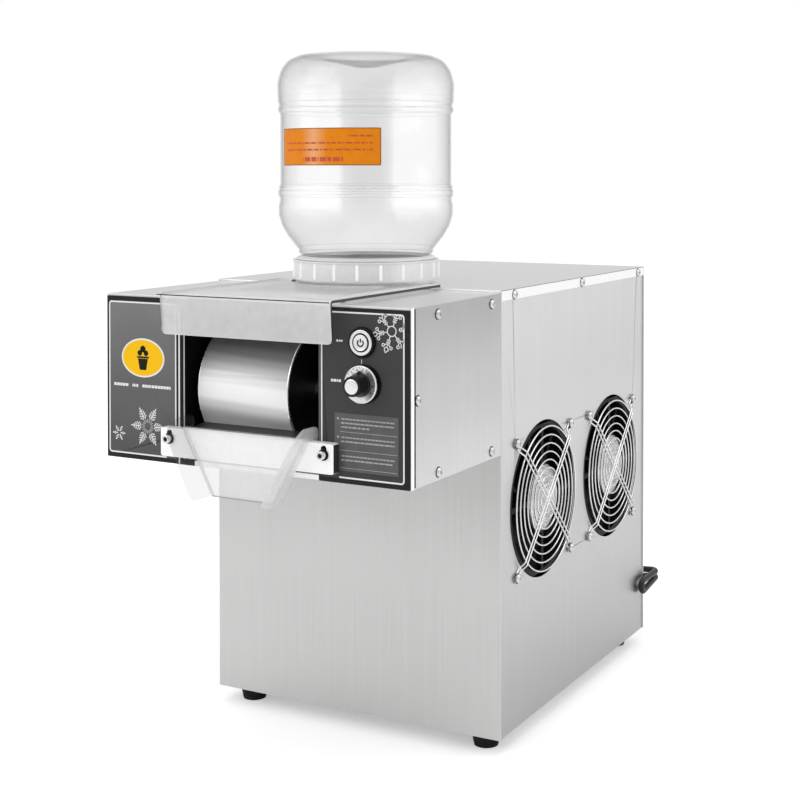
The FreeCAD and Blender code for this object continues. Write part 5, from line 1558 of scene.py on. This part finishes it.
def build_control_print():
    """The right film's border and marks, and its card of short bars."""
    low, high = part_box("control_panel")
    right = high.x - 3.9 * MM
    top = 338.0 * MM
    card = ((71.5 * MM, 122.6 * MM), (227.6 * MM, 267.6 * MM))

    def white(bm):
        frame_line(bm, (60.4 * MM, right), (BORDER_FOOT, top), BORDER, 2.6 * MM)
        outline_snowflake(bm, (117.4 * MM, 326.2 * MM), 16.0 * MM, right, top)
        mark_x = DIAL.x - 1.3 * MM
        prism(bm, bar((mark_x, 302.6 * MM), (mark_x, 305.6 * MM), 0.5 * MM), 0, INK)
        bar_row(bm, (73.0 * MM, 78.6 * MM), 317.0 * MM, 1.3 * MM, 3.1)
        bar_row(bm, (68.6 * MM, 77.2 * MM), 289.0 * MM, 1.8 * MM, 2.7)
        clear_under_bar(bm)

    def edge_strip(bm):
        prism(bm, rectangle((low.x, low.x + 1.2 * MM), (224.0 * MM, top)), 0, 0.06 * MM)

    def backing(bm):
        prism(bm, rectangle(*card), 0, 0.05 * MM)

    def notes(bm):
        low_ink, high_ink = 0.03 * MM, 0.12 * MM
        for line in (254.6, 241.8, 229.6):
            prism(bm, rectangle((76.0 * MM, 121.6 * MM), (line * MM, (line + 0.3) * MM)), low_ink, high_ink)
        for block, rows, end in ((264.0, 3, 100.0), (251.2, 2, 120.5), (238.4, 2, 118.0)):
            prism(bm, circle((74.3 * MM, (block - 0.2) * MM), 0.8 * MM, 16), low_ink, high_ink)
            for row in range(rows):
                stop = end if row == rows - 1 else 120.0
                bar_row(bm, (77.0 * MM, stop * MM), (block - 0.9 - 2.8 * row) * MM, 1.0 * MM, 2.1 + 0.7 * row)

    add_piece(solid("control_print", white, PRINT), "cabinet", "white_plastic", white_ink)
    add_piece(solid("control_edge_strip", edge_strip, PRINT), "cabinet", "white_plastic", grey_ink)
    add_piece(solid("control_card", backing, PRINT), "cabinet", "white_plastic", grey_ink)
    add_piece(solid("control_card_lines", notes, PRINT), "cabinet", "white_plastic", pale_ink)


# Fans and louvres

def build_hub_films():
    """A crinkled silver film on each fan's motor hub."""
    plate_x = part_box("fan_frames")[1].x
    radius = 26.5 * MM
    steps = 96
    profile = ((0.0, 0.9), (0.25, 1.3), (0.5, 1.0), (0.75, 1.5), (0.93, 1.1), (1.0, 0.5), (1.0, 0.02))

    def film(bm, centre):
        rings = []
        for reach, rise in profile:
            ring = []
            for step in range(steps):
                angle = 2 * math.pi * step / steps
                ripple = 0.35 * math.sin(angle * 9 + reach * 11) * math.sin(angle * 4 - reach * 17)
                height = (rise + ripple * (0 < reach < 1)) * MM if rise > 0.1 else 0.02 * MM
                y = centre.y + radius * reach * math.cos(angle)
                z = centre.z + radius * reach * math.sin(angle)
                ring.append((plate_x + height, y, z))
            rings.append(ring)
        loft(bm, rings)

    def draw(bm):
        for name in ("front_fan_rotor", "rear_fan_rotor"):
            film(bm, centre_of(name))

    add_piece(solid("fan_hub_films", draw, sharp=80), "cabinet", "coil_fins", hub_film)


def louvre_hood(bm, width, tall, rise, place):
    """A pressed hood over one slot: it swells out of the sheet and is open along its lower edge."""
    columns, rows = 24, 6
    sheet = 0.6 * MM
    outer, inner = [], []
    for column in range(columns + 1):
        along = -1 + 2 * column / columns
        swell = max(0.0, 1 - abs(along) ** 8) ** 0.5
        top, under = [], []
        for row in range(rows + 1):
            turn = math.pi / 2 * row / rows
            lift = math.sin(math.pi / 2 - turn)
            x = along * width / 2
            y = tall * math.sin(turn)
            top.append(place @ Vector((x, y, max(0.05 * MM, rise * lift * swell))))
            under.append(place @ Vector((x, y * 0.9, max(0.0, rise * lift * swell - sheet))))
        outer.append([bm.verts.new(p) for p in top])
        inner.append([bm.verts.new(p) for p in under])
    for rows_of in (outer, inner):
        for first, second in zip(rows_of, rows_of[1:]):
            skin(bm, first, second, closed=False)
    rims = []
    for grid in (outer, inner):
        rim = [c[0] for c in grid] + grid[-1][1:] + [c[-1] for c in reversed(grid[:-1])]
        rims.append(rim + list(reversed(grid[0][1:-1])))
    skin(bm, *rims)


def build_louvres():
    """Hoods over the slots of the left side and the rear."""
    side_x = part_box("left_side_panel")[0].x
    rear_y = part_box("rear_panel")[1].y

    def left(bm):
        for row in range(12):
            for y in (-75 * MM, 60 * MM):
                spot = Vector((side_x, y, (109.4 + row * 10) * MM))
                louvre_hood(bm, 84 * MM, 6.2 * MM, 2.6 * MM, facing(LEFT, spot))

    def rear(bm):
        for row in range(9):
            spot = Vector((0, rear_y, (189.4 + row * 12) * MM))
            louvre_hood(bm, 164 * MM, 7.2 * MM, 2.8 * MM, facing(BACKWARD, spot))

    add_piece(solid("left_louvres", left), "cabinet", "brushed_case_steel", case_steel)
    add_piece(solid("rear_louvres", rear), "cabinet", "brushed_case_steel", case_steel)


# Studio

def build_studio():
    """A wide pale floor that looks as bright as the background to the camera alone."""
    floor_mesh = bpy.data.meshes.new("floor")
    reach = 30.0
    corners = [(-reach, -reach), (reach, -reach), (reach, reach), (-reach, reach)]
    floor_mesh.from_pydata([(x, y, COUNTER_Z) for x, y in corners], [], [(0, 1, 2, 3)])
    floor = bpy.data.objects.new("floor", floor_mesh)
    bpy.context.scene.collection.objects.link(floor)
    recipe = Recipe("floor_paper")
    grain = recipe.noise(4 * MM, 2.0)
    glow = recipe.calc("MULTIPLY", recipe.node("LightPath", {}, "Is Camera Ray"), 0.37)
    floor_mesh.materials.append(recipe.done(Base_Color=recipe.mix(grain, 0.9, 0.94),
                                            Roughness=0.9, Specular_IOR_Level=0.1, Emission_Color=1.0,
                                            Emission_Strength=glow))


def outward(turn, rise):
    """The direction from the machine to a standpoint. Turn 0 is in front of it and grows to its right."""
    return Vector((math.sin(turn) * math.cos(rise), -math.cos(turn) * math.cos(rise), math.sin(rise)))


def add_lamp(name, azimuth, elevation, distance, size, power):
    """A soft box aimed at the machine. Its azimuth is 0 in front of the machine and 90 at its right."""
    data = bpy.data.lights.new(name, "AREA")
    data.shape = "RECTANGLE"
    data.size, data.size_y = size
    data.energy = power
    lamp = bpy.data.objects.new(name, data)
    back = outward(math.radians(azimuth), math.radians(elevation))
    lamp.location = Vector((0, -0.07, 0.25)) + back * distance
    lamp.rotation_mode = "QUATERNION"
    lamp.rotation_quaternion = (-back).to_track_quat("-Z", "Y")
    bpy.context.scene.collection.objects.link(lamp)
    return lamp


def build_light():
    world = bpy.data.worlds.new("studio")
    bpy.context.scene.world = world
    world.use_nodes = True
    tree = world.node_tree
    nodes, links = tree.nodes, tree.links
    soft = nodes["Background"]
    out = nodes["World Output"]
    place = nodes.new("ShaderNodeTexCoord")
    split = nodes.new("ShaderNodeSeparateXYZ")
    links.new(place.outputs["Generated"], split.inputs[0])
    rise = nodes.new("ShaderNodeMapRange")
    rise.interpolation_type = "SMOOTHSTEP"
    for key, value in (("From Min", -0.1), ("From Max", 0.9), ("To Min", 0.62), ("To Max", 0.8)):
        rise.inputs[key].default_value = value
    links.new(split.outputs["Z"], rise.inputs["Value"])
    links.new(rise.outputs[0], soft.inputs["Strength"])
    white = nodes.new("ShaderNodeBackground")
    white.inputs["Strength"].default_value = 1.0
    white.inputs["Color"].default_value = (1, 1, 1, 1)
    soft.inputs["Color"].default_value = (1, 1, 1, 1)
    path = nodes.new("ShaderNodeLightPath")
    chosen = nodes.new("ShaderNodeMixShader")
    links.new(path.outputs["Is Camera Ray"], chosen.inputs[0])
    links.new(soft.outputs[0], chosen.inputs[1])
    links.new(white.outputs[0], chosen.inputs[2])
    links.new(chosen.outputs[0], out.inputs["Surface"])
    add_lamp("key_left", -34, 28, 2.2, (1.3, 1.5), 8)
    add_lamp("side_right", 118, 24, 2.2, (1.2, 1.4), 5)
    add_lamp("overhead", 20, 82, 2.0, (1.8, 1.8), 9)


def build_camera():
    """A long lens just above the drum's height, shifted so that upright edges stay upright.
    The shift belongs to this standpoint, so it is nothing when the camera stands elsewhere."""
    data = bpy.data.cameras.new("camera")
    data.sensor_width = 36
    data.lens = 65.26
    camera = bpy.data.objects.new("camera", data)
    standpoint = (0.6117, -1.1441, 0.4361)
    camera.location = standpoint
    camera.rotation_mode = "QUATERNION"
    camera.rotation_quaternion = (-outward(VIEW_TURN, VIEW_RISE)).to_track_quat("-Z", "Y")
    data.clip_start, data.clip_end = 0.05, 50
    for path, shift in (("shift_x", -0.0735), ("shift_y", -0.2599)):
        setattr(data, path, shift)
        driver = data.driver_add(path).driver
        spot = driver.variables.new()
        spot.name = "x"
        spot.type = "TRANSFORMS"
        spot.targets[0].id = camera
        spot.targets[0].transform_type = "LOC_X"
        driver.expression = f"{shift} if abs(x - {standpoint[0]}) < 0.0005 else 0.0"
    bpy.context.scene.collection.objects.link(camera)
    bpy.context.scene.camera = camera


dress_cad_nodes()
build_bottle()
build_label()
build_cap_ribs()
build_visor()
build_visor_pads()
build_chute()
build_drum_rims()
build_case_screws()
build_guard_screws()
build_screw_rings()
build_head_seams()
build_blade_screws()
build_button()
build_dial()
build_knob()
build_badge_print()
build_control_print()
build_hub_films()
build_louvres()
build_studio()
build_light()
build_camera()
bpy.context.scene.view_settings.view_transform = "Standard"
bpy.context.scene.cycles.use_denoising = True
